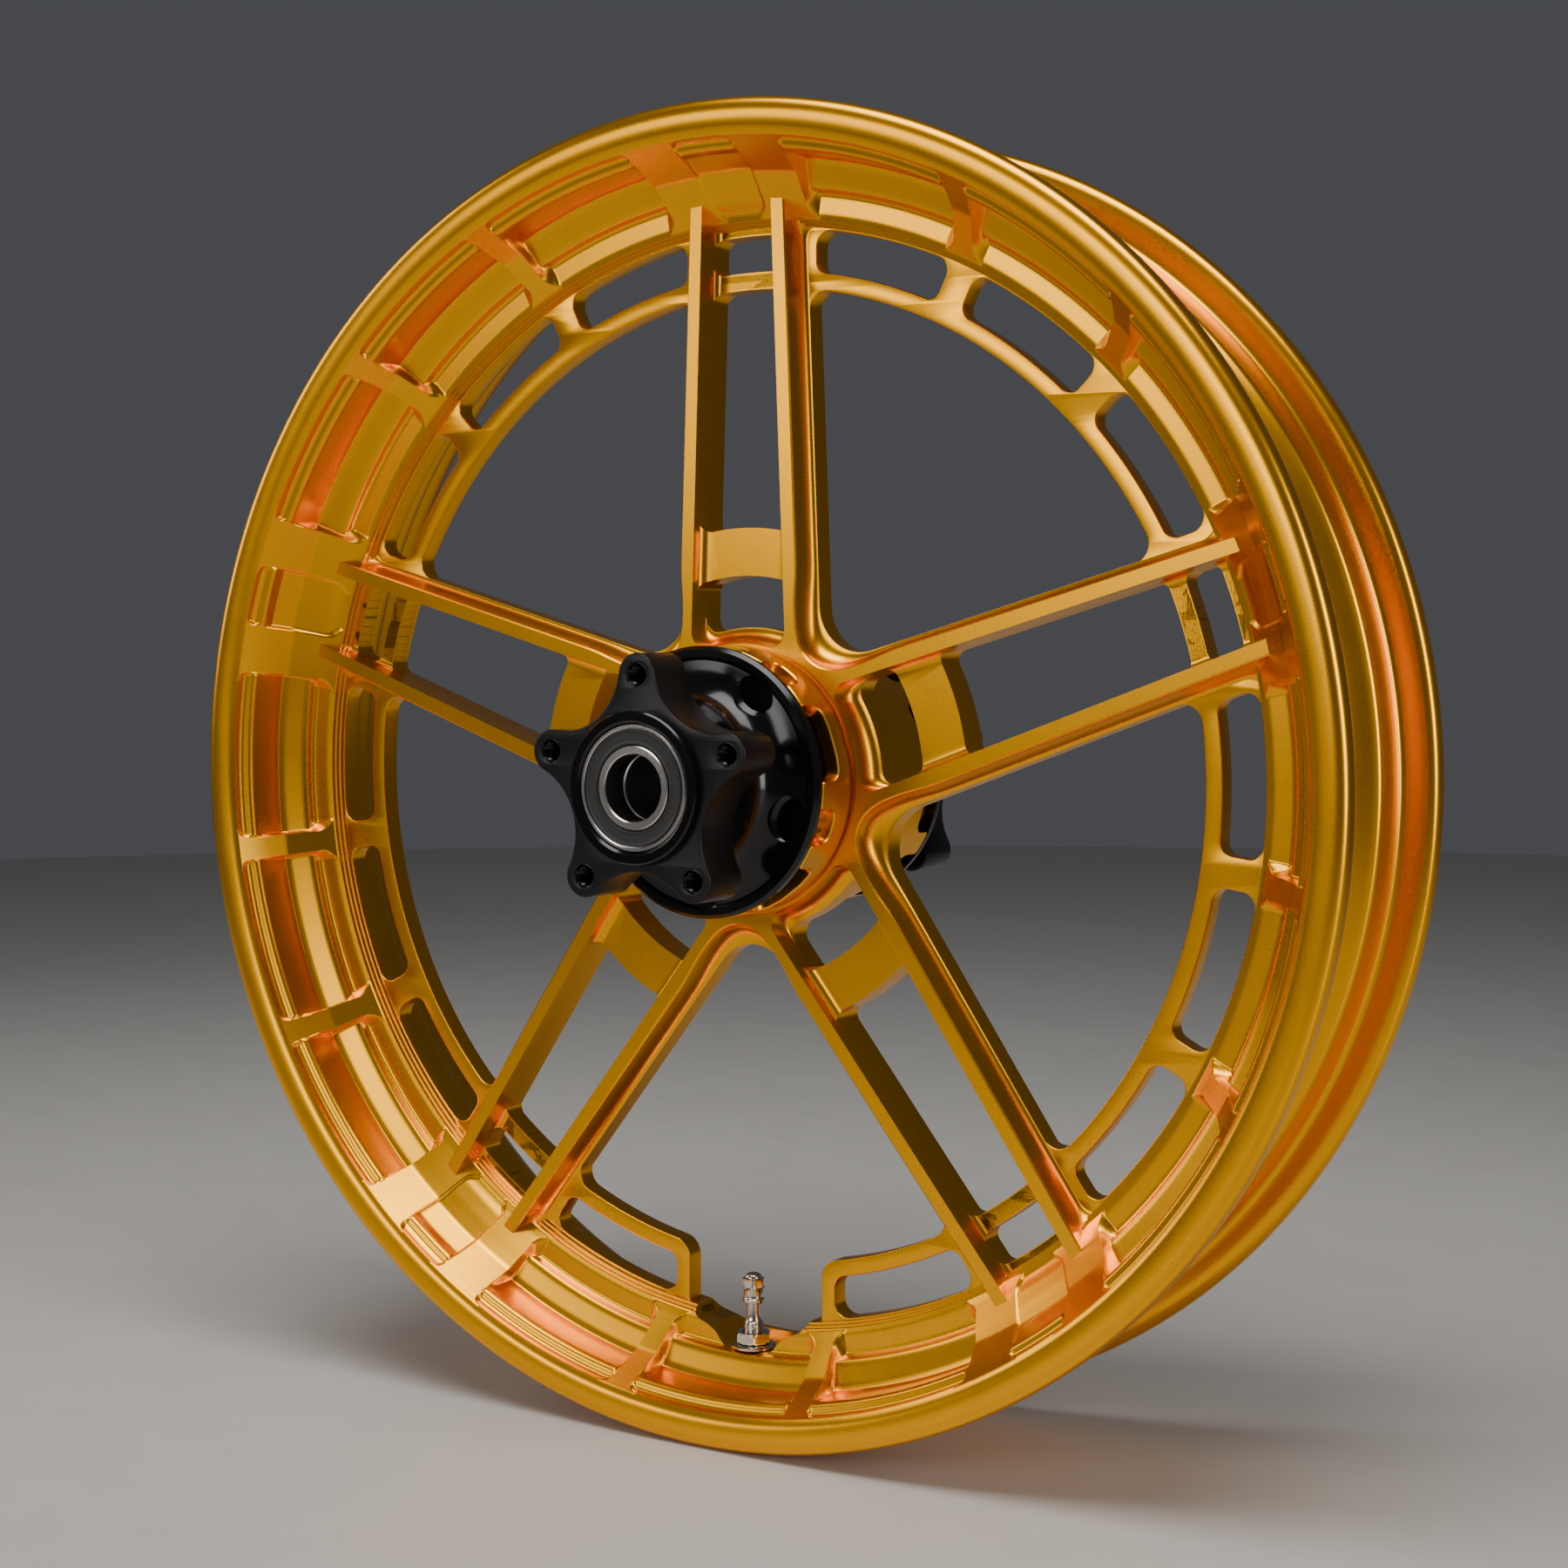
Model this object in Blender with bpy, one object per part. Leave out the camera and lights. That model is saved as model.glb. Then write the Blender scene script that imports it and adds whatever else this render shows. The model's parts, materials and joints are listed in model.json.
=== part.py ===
"""Forged motorcycle front wheel: rim with twin-bar spokes, pinned hubs, bearings and valve.

The forging is one piece of metal. It is given as eleven nodes, with a hairline gap between them, so that
each has a simple shape: five rim sectors, five spoke pairs with their lattice, and the centre with the drum.
Frame: origin at the wheel centre, spin axis +Y, +Z up, the show face towards -Y, the valve at -Z.
"""

import math

import bmesh
import bpy
from mathutils import Matrix, Vector

MM = 0.001

# ---- rim ----
BEAD_SEAT_R = 241.2
FLANGE_HEIGHT = 14.3
BEAD_WIDTH = 82.5
LIP_WALL = 11.0
WELL_DEPTH = 11.7
WELL_HALF = 19.8
SEAT_WIDTH = 15.5
RIM_WALL = 4.2
RIM_STEPS = 60
TURN_STEPS = 30
RACE_STEPS = 24

# ---- spoke plane ----
FACE_Y = -23.0
SPOKE_DEPTH = 20.0
LEDGE_STEP = 10.5
SPOKE_PAIRS = 5
BAR_WIDTH = 6.0
LEDGE_WIDTH = 3.6
BAR_OFFSET_HUB = 26.0
BAR_TAPER = 0.035
SHOULDER_DEPTH = 29.2
# Solids that are joined lie this far apart where they would share a face, so the Booleans stay clean.
STEP = 0.05

# ---- lattice ring ----
RING_REACH = 22.5
RING_WIDTH = 6.4
RIB_WIDTH = 11.5
RIB_ANGLE = 9.9
VALVE_GAP_HALF = 31.0

# ---- lightening pockets in the rim shoulder ----
POCKET_TOP = 0.4
POCKET_SPAN = 17.2
POCKET_PITCH = 19.4
SMALL_POCKET_SPAN = 6.4
POCKET_END = 5.5

# ---- centre ----
DRUM_R = 52.0
DRUM_WALL = 5.5
DRUM_HALF = 44.5
WEB_BORE_R = 31.0
PLATE_EDGE = 5.0
PLATE_LEDGE = 10.0
NOTCH_DEPTH = 12.0
NOTCH_WIDE = 29.0
POST_R = 7.0
CENTRE_SPLIT = 3.0
RIM_SPLIT = 5.0

# ---- twin-bar bridge and window ----
SILL_EDGE = 2.0
SILL_WINDOW = 20.0
BRIDGE_WIDTH = 18.5
BRIDGE_RECESS = 6.0

# ---- hub carrier ----
GAP = 0.3
DISC_FACE_Y = 90.5
BOSS_WALL = 4.7
BOSS_HEIGHT = 3.2
STAR_THICK = 21.0
BOLT_CIRCLE_R = 41.28
LOBE_R = 8.0
VALLEY_EDGE = 2.8
DISC_HOLE_R = 3.4
NECK_EDGE = 0.8
FLANGE_THICK = 4.0
SPIGOT = 4.0
BEARING_SHOULDER = 5.0
HUB_PIN_R = 3.0
HUB_PIN_EDGE = 10.5
HUB_PIN_LENGTH = 16.0
HUB_PIN_COVER = 2.4

# ---- bearing 25 x 47 x 12 ----
BEARING_BORE_R = 12.5
BEARING_R = 23.5
BEARING_WIDTH = 12.0
PITCH_R = 18.0
RACE_SPACE = 5.0
BALL_R = 3.1
BALLS = 10
GROOVE_R = 3.45
SEAL_THICK = 1.0
CAGE_THICK = 2.0
CAGE_HALF = 4.2
SPACER_WALL = 2.5

# ---- valve ----
VALVE_Y = -13.0
VALVE_WALL = 4.5
VALVE_STEM_R = 4.0
THREAD_STEP = 0.2
VALVE_LENGTH = 24.0
NUT_R = 7.4
CAP_LENGTH = 12.0
CAP_R = 4.5

# ---- tied sizes ----
LIP_R = BEAD_SEAT_R + FLANGE_HEIGHT
BEAD_HALF = BEAD_WIDTH / 2
RIM_HALF = BEAD_HALF + LIP_WALL
WELL_R = BEAD_SEAT_R - WELL_DEPTH
BACK_Y = FACE_Y + SPOKE_DEPTH
LEDGE_Y = FACE_Y + LEDGE_STEP
POCKET_TOP_R = BEAD_SEAT_R + POCKET_TOP
POCKET_END_Y = FACE_Y + POCKET_END
ROOT_R = BEAD_SEAT_R - SHOULDER_DEPTH
RIM_SPLIT_R = ROOT_R - RIM_SPLIT
RING_IN_R = ROOT_R - RING_REACH
RING_OUT_R = RING_IN_R + RING_WIDTH
DRUM_IN_R = DRUM_R - DRUM_WALL
PLATE_R = DRUM_R + PLATE_EDGE
PLATE_LEDGE_R = PLATE_R + PLATE_LEDGE
CENTRE_SPLIT_R = PLATE_LEDGE_R + CENTRE_SPLIT
SILL_R = PLATE_R + SILL_EDGE
BRIDGE_IN_R = SILL_R + SILL_WINDOW
BRIDGE_OUT_R = BRIDGE_IN_R + BRIDGE_WIDTH
HUB_PIN_CIRCLE_R = DRUM_R - HUB_PIN_EDGE
HUB_BORE_R = BEARING_R - BEARING_SHOULDER
BOSS_R = BEARING_R + BOSS_WALL
VALLEY_R = BOSS_R + VALLEY_EDGE
NECK_R = BOSS_R + NECK_EDGE
VALVE_SEAT_R = WELL_R - VALVE_WALL
VALVE_THREAD_R = VALVE_STEM_R - THREAD_STEP
INNER_RACE_R = PITCH_R - RACE_SPACE / 2
OUTER_RACE_IN_R = PITCH_R + RACE_SPACE / 2
BEARING_OUT_Y = DISC_FACE_Y + BOSS_HEIGHT - 0.7
BEARING_MID_Y = BEARING_OUT_Y - BEARING_WIDTH / 2
FLANGE_IN_Y = DRUM_HALF + GAP
FLANGE_OUT_Y = FLANGE_IN_Y + FLANGE_THICK
PAIR_PITCH = 360 / SPOKE_PAIRS
PAIR_ANGLES = [90 + PAIR_PITCH * i for i in range(SPOKE_PAIRS)]
VALVE_ANGLE = -90.0


def clear_scene():
    for obj in list(bpy.data.objects):
        bpy.data.objects.remove(obj, do_unlink=True)


def collection(name, hidden=False):
    found = bpy.data.collections.new(name)
    bpy.context.scene.collection.children.link(found)
    found.hide_render = hidden
    return found


def material(name, color, metallic, roughness):
    made = bpy.data.materials.new(name)
    made.use_nodes = True
    shader = made.node_tree.nodes["Principled BSDF"]
    shader.inputs["Base Color"].default_value = (*color, 1.0)
    shader.inputs["Metallic"].default_value = metallic
    shader.inputs["Roughness"].default_value = roughness
    made.diffuse_color = (*color, 1.0)
    return made


def new_object(name, bm, target, mat=None, smooth=True):
    """Scales the mesh from millimetres, closes up its normals and links it."""
    bmesh.ops.remove_doubles(bm, verts=bm.verts, dist=1e-4)
    bmesh.ops.recalc_face_normals(bm, faces=bm.faces)
    bmesh.ops.scale(bm, vec=(MM, MM, MM), verts=bm.verts)
    mesh = bpy.data.meshes.new(name)
    bm.to_mesh(mesh)
    bm.free()
    obj = bpy.data.objects.new(name, mesh)
    target.objects.link(obj)
    if mat:
        mesh.materials.append(mat)
    if smooth:
        mesh.shade_smooth()
        mesh.set_sharp_from_angle(angle=math.radians(35))
    if target is tools:
        obj.hide_render = True
        obj.display_type = "WIRE"
    return obj


def outline_face(bm, points):
    verts = [bm.verts.new(point) for point in points]
    return bm.faces.new(verts)


def revolve_mesh(profile, steps, start=0.0, span=360.0):
    """Turns a closed (radius, y) profile about the Y axis; start and span are degrees from +X to +Z."""
    bm = bmesh.new()
    face = outline_face(bm, [(r, y, 0) for r, y in profile])
    full = span >= 360.0
    if full:
        bmesh.ops.delete(bm, geom=[face], context="FACES_ONLY")
    geom = list(bm.verts) + list(bm.edges) + list(bm.faces)
    turn = Matrix.Rotation(-math.radians(start), 3, "Y")
    bmesh.ops.rotate(bm, cent=(0, 0, 0), matrix=turn, verts=bm.verts)
    bmesh.ops.spin(
        bm, geom=geom, cent=(0, 0, 0), axis=(0, 1, 0), angle=-math.radians(span), steps=steps, use_merge=full
    )
    return bm


def revolve(name, profile, target, mat=None, steps=48, start=0.0, span=360.0):
    return new_object(name, revolve_mesh(profile, steps, start, span), target, mat)


def extrude(name, points, depth, target, mat=None):
    """Extrudes an (x, z) outline, given counter-clockwise, between the two y values of depth."""
    bm = bmesh.new()
    low, high = depth
    face = outline_face(bm, [(x, low, z) for x, z in points])
    grown = bmesh.ops.extrude_face_region(bm, geom=[face])
    moved = [item for item in grown["geom"] if isinstance(item, bmesh.types.BMVert)]
    bmesh.ops.translate(bm, vec=(0, high - low, 0), verts=moved)
    return new_object(name, bm, target, mat, smooth=False)


def cylinder(name, radius, low, high, at, target, axis="Y", segments=12, mat=None):
    """A cylinder from low to high along axis, its centre line through the two other coordinates in at."""
    bm = bmesh.new()
    bmesh.ops.create_cone(
        bm, cap_ends=True, segments=segments, radius1=radius, radius2=radius, depth=high - low
    )
    middle = (low + high) / 2
    if axis == "Y":
        bmesh.ops.rotate(bm, cent=(0, 0, 0), matrix=Matrix.Rotation(math.pi / 2, 3, "X"), verts=bm.verts)
        bmesh.ops.translate(bm, vec=(at[0], middle, at[1]), verts=bm.verts)
    else:
        bmesh.ops.translate(bm, vec=(at[0], at[1], middle), verts=bm.verts)
    return new_object(name, bm, target, mat)


def boolean(obj, others, operation, solver="EXACT"):
    """One Boolean with a collection that holds the other solids."""
    group = bpy.data.collections.new(f"{obj.name}_{operation.lower()}")
    tools.children.link(group)
    for other in others:
        group.objects.link(other)
    step = obj.modifiers.new(operation.title(), "BOOLEAN")
    step.operation = operation
    step.solver = solver
    step.operand_type = "COLLECTION"
    step.collection = group


def polar(radius, degrees):
    angle = math.radians(degrees)
    return radius * math.cos(angle), radius * math.sin(angle)


def turned(points, degrees):
    """Turns (radial, sideways) points so that the radial direction lies at this angle."""
    c, s = polar(1.0, degrees)
    return [(r * c - t * s, r * s + t * c) for r, t in points]


def arc(centre, radius, first, last, steps):
    angles = [first + (last - first) * i / steps for i in range(steps + 1)]
    return [(centre[0] + polar(radius, a)[0], centre[1] + polar(radius, a)[1]) for a in angles]


# ---------------------------------------------------------------- forged wheel


def rim_profile():
    """The rim's whole section, as (radius, y): the tyre side, then back along the spoke side."""
    slope_top = BEAD_HALF - SEAT_WIDTH
    tyre = [
        (LIP_R - 1.5, -RIM_HALF + 1.2),
        (LIP_R, -RIM_HALF + 4.5),
        (LIP_R - 3.5, -BEAD_HALF),
        (BEAD_SEAT_R, -BEAD_HALF),
        (BEAD_SEAT_R - 1.4, -slope_top),
        (WELL_R, -WELL_HALF),
    ]
    inner_front = [
        (ROOT_R, BACK_Y),
        (ROOT_R + 1.0, LEDGE_Y),
        (ROOT_R + 4.0, LEDGE_Y - 4.5),
        (ROOT_R + 19.0, LEDGE_Y - 19.0),
        (BEAD_SEAT_R + 1.8, -RIM_HALF + 2.0),
        (LIP_R - 6.0, -RIM_HALF),
    ]
    inner_back = [
        (WELL_R - RIM_WALL, BACK_Y + 12.0),
        (WELL_R - RIM_WALL, WELL_HALF - 1.0),
        (BEAD_SEAT_R - RIM_WALL - 1.5, slope_top + 2.0),
        (BEAD_SEAT_R - RIM_WALL, BEAD_HALF - 1.0),
        (BEAD_SEAT_R + 1.8, RIM_HALF - 2.0),
        (LIP_R - 6.0, RIM_HALF),
    ]
    back_tyre = [(r, -y) for r, y in reversed(tyre)]
    return tyre + back_tyre + inner_back[::-1] + inner_front


def bar_offset(radius):
    return BAR_OFFSET_HUB - BAR_TAPER * radius


def spoke_bars(pair):
    """Two bars of one pair: a narrow face rib on a wider back web with an outer ledge."""
    made = []
    inner = PLATE_R - 12.0
    for side in (1, -1):
        for label, extra, depth, outer in (
            ("rib", 0.0, (FACE_Y, LEDGE_Y + 1.0), ROOT_R + 13.0),
            ("web", LEDGE_WIDTH, (LEDGE_Y, BACK_Y), ROOT_R + 5.0),
        ):
            half = BAR_WIDTH / 2 + (STEP if extra else 0.0)
            quad = [
                (inner, side * (bar_offset(inner) - half)),
                (outer, side * (bar_offset(outer) - half)),
                (outer, side * (bar_offset(outer) + half + extra)),
                (inner, side * (bar_offset(inner) + half + extra)),
            ]
            name = f"bar_{label}_{round(pair)}_{side}"
            made.append(extrude(name, turned(quad, pair), depth, tools))
    return made


def bridge(pair):
    half_in = bar_offset(BRIDGE_IN_R)
    half_out = bar_offset(BRIDGE_OUT_R)
    quad = [
        (BRIDGE_IN_R, -half_in),
        (BRIDGE_OUT_R, -half_out),
        (BRIDGE_OUT_R, half_out),
        (BRIDGE_IN_R, half_in),
    ]
    depth = (FACE_Y + BRIDGE_RECESS, BACK_Y - STEP)
    return extrude(f"bridge_{round(pair)}", turned(quad, pair), depth, tools)


def sill_cutter(pair):
    """Opens the plate between the bars, from the sill outwards to the bridge."""
    half_in = bar_offset(SILL_R) - BAR_WIDTH / 2 - 2 * STEP
    half_out = bar_offset(BRIDGE_IN_R) - BAR_WIDTH / 2 - 2 * STEP
    outer = BRIDGE_IN_R - 2 * STEP
    quad = [(SILL_R, -half_in), (outer, -half_out), (outer, half_out), (SILL_R, half_in)]
    return extrude(f"sill_{round(pair)}", turned(quad, pair), (FACE_Y - 9.0, BACK_Y + 9.0), tools)


def ring_section(start, span, steps):
    front, back = LEDGE_Y + STEP, BACK_Y - 1.0
    profile = [(RING_IN_R, front), (RING_OUT_R, front), (RING_OUT_R, back), (RING_IN_R, back)]
    return revolve(f"lattice_ring_{round(start)}", profile, tools, steps=steps, start=start, span=span)


def rib(angle, width):
    quad = [
        (RING_IN_R + 1.0, -width / 2),
        (ROOT_R + 4.0, -width / 2),
        (ROOT_R + 4.0, width / 2),
        (RING_IN_R + 1.0, width / 2),
    ]
    depth = (LEDGE_Y + 2 * STEP, BACK_Y - 1.0 - STEP)
    return extrude(f"rib_{round(angle * 10)}", turned(quad, angle), depth, tools)


def lattice():
    """The inner ring, open at the valve, and the ribs that tie it to the rim."""
    gap = math.degrees(math.asin(VALVE_GAP_HALF / RING_IN_R))
    made = [ring_section(VALVE_ANGLE + gap, 360 - 2 * gap, 45)]
    for pair in PAIR_ANGLES:
        middle = pair + PAIR_PITCH / 2
        over_valve = abs((middle - VALVE_ANGLE) % 360) < 1
        for side in (1, -1):
            if over_valve:
                end = math.degrees(math.asin((VALVE_GAP_HALF + RING_WIDTH / 2) / RING_OUT_R))
                made.append(rib(middle + side * end, RING_WIDTH))
            else:
                made.append(rib(middle + side * RIB_ANGLE, RIB_WIDTH))
    return made


def pocket_cutter(centre, span, label):
    """Removes metal down to an even wall that follows the tyre side: flange, bead seat, then well."""
    floor = BEAD_SEAT_R - RIM_WALL
    well_floor = WELL_R - RIM_WALL
    profile = [
        (POCKET_TOP_R, -RIM_HALF - 6.0),
        (POCKET_TOP_R, -BEAD_HALF - RIM_WALL),
        (floor, -BEAD_HALF - RIM_WALL + 1.5),
        (floor, -BEAD_HALF + SEAT_WIDTH - 1.5),
        (well_floor, -WELL_HALF - 3.5),
        (well_floor, POCKET_END_Y),
        (ROOT_R - 3.0, POCKET_END_Y),
        (ROOT_R - 3.0, -RIM_HALF - 6.0),
    ]
    steps = max(2, round(span / 5.5))
    return revolve(f"pocket_{label}", profile, tools, steps=steps, start=centre - span / 2, span=span)


def pockets():
    made = []
    for pair in PAIR_ANGLES:
        made.append(pocket_cutter(pair, SMALL_POCKET_SPAN, f"small_{round(pair)}"))
        middle = pair + PAIR_PITCH / 2
        for step in (-1, 0, 1):
            made.append(pocket_cutter(middle + step * POCKET_PITCH, POCKET_SPAN, f"{round(middle)}_{step}"))
    return made


def valve_cuts():
    seat = [
        (-VALVE_SEAT_R, -12.0),
        (-VALVE_SEAT_R, 12.0),
        (-ROOT_R - 4.0, 25.0),
        (-ROOT_R + 6.0, 25.0),
        (-ROOT_R + 6.0, -25.0),
        (-ROOT_R - 4.0, -25.0),
    ]
    points = [(x, z) for z, x in seat]
    recess = extrude("valve_recess", points, (VALVE_Y - 9.0, BACK_Y + 9.0), tools)
    hole = cylinder(
        "valve_hole", VALVE_STEM_R + 2 * GAP, -LIP_R, -ROOT_R, (0, VALVE_Y), tools, axis="Z"
    )
    return [recess, hole]


def plate_and_drum():
    """The centre: a plate in the spoke plane, its lower ledge, and the drum through it."""
    front, back = FACE_Y - STEP, BACK_Y + STEP
    section = [(WEB_BORE_R, front), (PLATE_R, front), (PLATE_R, back), (WEB_BORE_R, back)]
    plate = revolve("centre_plate", section, tools, steps=TURN_STEPS)
    front, back = LEDGE_Y + 3 * STEP, BACK_Y - 1.0 - 2 * STEP
    inner = WEB_BORE_R + 3.0
    section = [(inner, front), (PLATE_LEDGE_R, front), (PLATE_LEDGE_R, back), (inner, back)]
    ledge = revolve("plate_ledge", section, tools, steps=TURN_STEPS)
    drum = revolve(
        "drum",
        [(DRUM_IN_R, -DRUM_HALF), (DRUM_R, -DRUM_HALF), (DRUM_R, DRUM_HALF), (DRUM_IN_R, DRUM_HALF)],
        tools,
        steps=TURN_STEPS,
    )
    return [plate, ledge, drum]


def hub_pin_angles():
    return [pair + PAIR_PITCH / 2 for pair in PAIR_ANGLES]


def posts():
    """Posts for the hub pins that stand along the drum's inner wall between the plate and both ends."""
    made = []
    for angle in hub_pin_angles():
        centre = polar(HUB_PIN_CIRCLE_R, angle)
        made.append(
            cylinder(f"post_{round(angle)}", POST_R, STEP - DRUM_HALF, DRUM_HALF - STEP, centre, tools)
        )
    return made


def drum_cuts():
    """Notches in the drum's two rims, and the pins' bores in the posts."""
    made = []
    for side in (1, -1):
        end = side * DRUM_HALF
        depth = sorted((end + side * 5.0, end - side * NOTCH_DEPTH))
        for pair in PAIR_ANGLES:
            half = NOTCH_WIDE / 2
            quad = [
                (DRUM_IN_R - 3.0, -half),
                (DRUM_R + 3.0, -half),
                (DRUM_R + 3.0, half),
                (DRUM_IN_R - 3.0, half),
            ]
            made.append(extrude(f"notch_{round(pair)}_{side}", turned(quad, pair), depth, tools))
        for angle in hub_pin_angles():
            centre = polar(HUB_PIN_CIRCLE_R, angle)
            low, high = sorted((end + side * 5.0, end - side * (HUB_PIN_LENGTH + 1.0)))
            made.append(
                cylinder(
                    f"post_bore_{round(angle)}_{side}",
                    HUB_PIN_R + GAP,
                    low,
                    high,
                    centre,
                    tools,
                    segments=12,
                )
            )
    return made


def whole_forging():
    """The one forging, as a construction solid."""
    wheel = revolve("forging", rim_profile(), tools, steps=RIM_STEPS)
    bars = [piece for pair in PAIR_ANGLES for piece in spoke_bars(pair)]
    bridges = [bridge(pair) for pair in PAIR_ANGLES]
    solids = bars + bridges + lattice() + plate_and_drum() + posts()
    boolean(wheel, solids, "UNION", "MANIFOLD")
    cuts = [sill_cutter(pair) for pair in PAIR_ANGLES] + pockets() + valve_cuts() + drum_cuts()
    boolean(wheel, cuts, "DIFFERENCE", "MANIFOLD")
    return wheel


def forging_share(name, inner, outer, middle, forging, mat):
    """The forging's share between two radii and half a pair's pitch to each side of middle."""
    half = RIM_HALF + 5.0
    box = [(inner, -half), (outer, -half), (outer, half), (inner, half)]
    clear = math.degrees(GAP / 2 / outer)
    steps = round(RIM_STEPS / SPOKE_PAIRS)
    start = middle - PAIR_PITCH / 2 + clear
    share = revolve(name, box, parts, mat, steps=steps, start=start, span=PAIR_PITCH - 2 * clear)
    boolean(share, [forging], "INTERSECT", "MANIFOLD")


def forged_wheel(mat):
    """The forging as eleven nodes: five rim sectors, five spoke pairs with their lattice, and the centre."""
    forging = whole_forging()
    for pair in PAIR_ANGLES:
        inner, outer = CENTRE_SPLIT_R + GAP / 2, RIM_SPLIT_R - GAP / 2
        forging_share(f"spoke_pair_{round(pair % 360)}", inner, outer, pair, forging, mat)
        sector = (pair + PAIR_PITCH / 2) % 360
        inner, outer = RIM_SPLIT_R + GAP / 2, LIP_R + 5.0
        forging_share(f"rim_sector_{round(sector)}", inner, outer, sector, forging, mat)
    half = DRUM_HALF + 5.0
    reach = CENTRE_SPLIT_R - GAP / 2
    centre = revolve(
        "wheel_centre",
        [(0.0, -half), (reach, -half), (reach, half), (0.0, half)],
        parts,
        mat,
        steps=RIM_STEPS,
    )
    boolean(centre, [forging], "INTERSECT", "MANIFOLD")


# ---------------------------------------------------------------- hub carriers


def star_outline():
    """Five lobes round the bolt holes, joined by concave arcs tangent to them."""
    half_pitch = math.radians(PAIR_PITCH / 2)
    along = BOLT_CIRCLE_R * math.cos(half_pitch)
    across = BOLT_CIRCLE_R * math.sin(half_pitch)
    # The valley arc touches the lobe circle and comes in to VALLEY_R.
    offset = VALLEY_R - along
    valley = (across**2 + offset**2 - LOBE_R**2) / (2 * (LOBE_R - offset))
    centre = VALLEY_R + valley
    tangent = math.degrees(math.atan2(across, centre - along))
    points = []
    for pair in PAIR_ANGLES:
        hole = polar(BOLT_CIRCLE_R, pair)
        lobe_half = PAIR_PITCH / 2 + tangent
        points += arc(hole, LOBE_R, pair - lobe_half, pair + lobe_half, 6)
        mid = pair + PAIR_PITCH / 2
        hollow = polar(centre, mid)
        points += arc(hollow, valley, mid + 180 + tangent, mid + 180 - tangent, 6)[1:-1]
    return points


def hub_carrier(name, side, mat):
    """A turned body with the brake-disc star, a bearing seat outside and a spigot flange inside."""
    seat_r = BEARING_R + GAP
    seat_end = BEARING_OUT_Y - BEARING_WIDTH - GAP
    star_back = DISC_FACE_Y - STAR_THICK
    profile = [
        (HUB_BORE_R, FLANGE_IN_Y - SPIGOT),
        (HUB_BORE_R, seat_end),
        (seat_r, seat_end),
        (seat_r, DISC_FACE_Y + BOSS_HEIGHT),
        (BOSS_R - 1.0, DISC_FACE_Y + BOSS_HEIGHT),
        (BOSS_R, DISC_FACE_Y + BOSS_HEIGHT - 1.0),
        (NECK_R, star_back - 2.0),
        (NECK_R + 0.8, FLANGE_OUT_Y + 12.0),
        (NECK_R + 3.8, FLANGE_OUT_Y + 5.0),
        (NECK_R + 8.5, FLANGE_OUT_Y + 0.6),
        (NECK_R + 16.0, FLANGE_OUT_Y - 1.2),
        (DRUM_R - 4.2, FLANGE_OUT_Y),
        (DRUM_R - 1.0, FLANGE_OUT_Y),
        (DRUM_R, FLANGE_OUT_Y - 1.0),
        (DRUM_R, FLANGE_IN_Y),
        (DRUM_IN_R - 2 * POST_R - 3.0, FLANGE_IN_Y),
        (DRUM_IN_R - 2 * POST_R - 3.0, FLANGE_IN_Y - SPIGOT),
    ]
    profile = [(r, side * y) for r, y in profile]
    hub = revolve(name, profile, parts, mat, steps=TURN_STEPS)
    depth = sorted((side * DISC_FACE_Y, side * (star_back + STEP)))
    star = extrude(f"{name}_star", star_outline(), depth, tools)
    bore = cylinder(
        f"{name}_star_bore",
        BOSS_R - 1.0,
        *sorted((side * (DISC_FACE_Y + 9.0), side * (star_back - 9.0))),
        (0, 0),
        tools,
        segments=24,
    )
    boolean(star, [bore], "DIFFERENCE")
    boolean(hub, [star], "UNION")
    holes = []
    for pair in PAIR_ANGLES:
        low, high = sorted((side * (DISC_FACE_Y + 5.0), side * (star_back - 1.0)))
        spot = polar(BOLT_CIRCLE_R, pair)
        holes.append(
            cylinder(f"{name}_hole_{round(pair)}", DISC_HOLE_R, low, high, spot, tools, segments=12)
        )
    for angle in hub_pin_angles():
        spot = polar(HUB_PIN_CIRCLE_R, angle)
        low, high = sorted((side * (FLANGE_IN_Y - 9.0), side * (FLANGE_OUT_Y - HUB_PIN_COVER)))
        holes.append(
            cylinder(f"{name}_pin_bore_{round(angle)}", HUB_PIN_R + GAP, low, high, spot, tools, segments=12)
        )
    boolean(hub, holes, "DIFFERENCE")
    return hub


def hub_pins(label, side, mat):
    """Hardened pins that turn a pressed-on hub carrier with the drum, in blind bores at both ends."""
    for number, angle in enumerate(hub_pin_angles(), 1):
        outer_y = FLANGE_OUT_Y - HUB_PIN_COVER - GAP
        inner_y = outer_y - HUB_PIN_LENGTH
        x, z = polar(HUB_PIN_CIRCLE_R, angle)
        low, high = sorted((side * inner_y, side * outer_y))
        pin = cylinder(f"hub_pin_{label}_{number}", HUB_PIN_R, low, high, (x, z), parts, segments=12)
        pin.data.materials.append(mat)


# ---------------------------------------------------------------- bearings


def groove(toward, steps=4):
    """Points of a ball groove's arc, as (radius, y offset), on the side facing this direction."""
    span = 52.0
    if toward == "axis":
        angles = [180 + span - 2 * span * i / steps for i in range(steps + 1)]
    else:
        angles = [-span + 2 * span * i / steps for i in range(steps + 1)]
    return [(PITCH_R + polar(GROOVE_R, a)[0], polar(GROOVE_R, a)[1]) for a in angles]


def race(name, profile, middle, mat):
    return revolve(name, [(r, middle + y) for r, y in profile], parts, mat, steps=RACE_STEPS)


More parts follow.
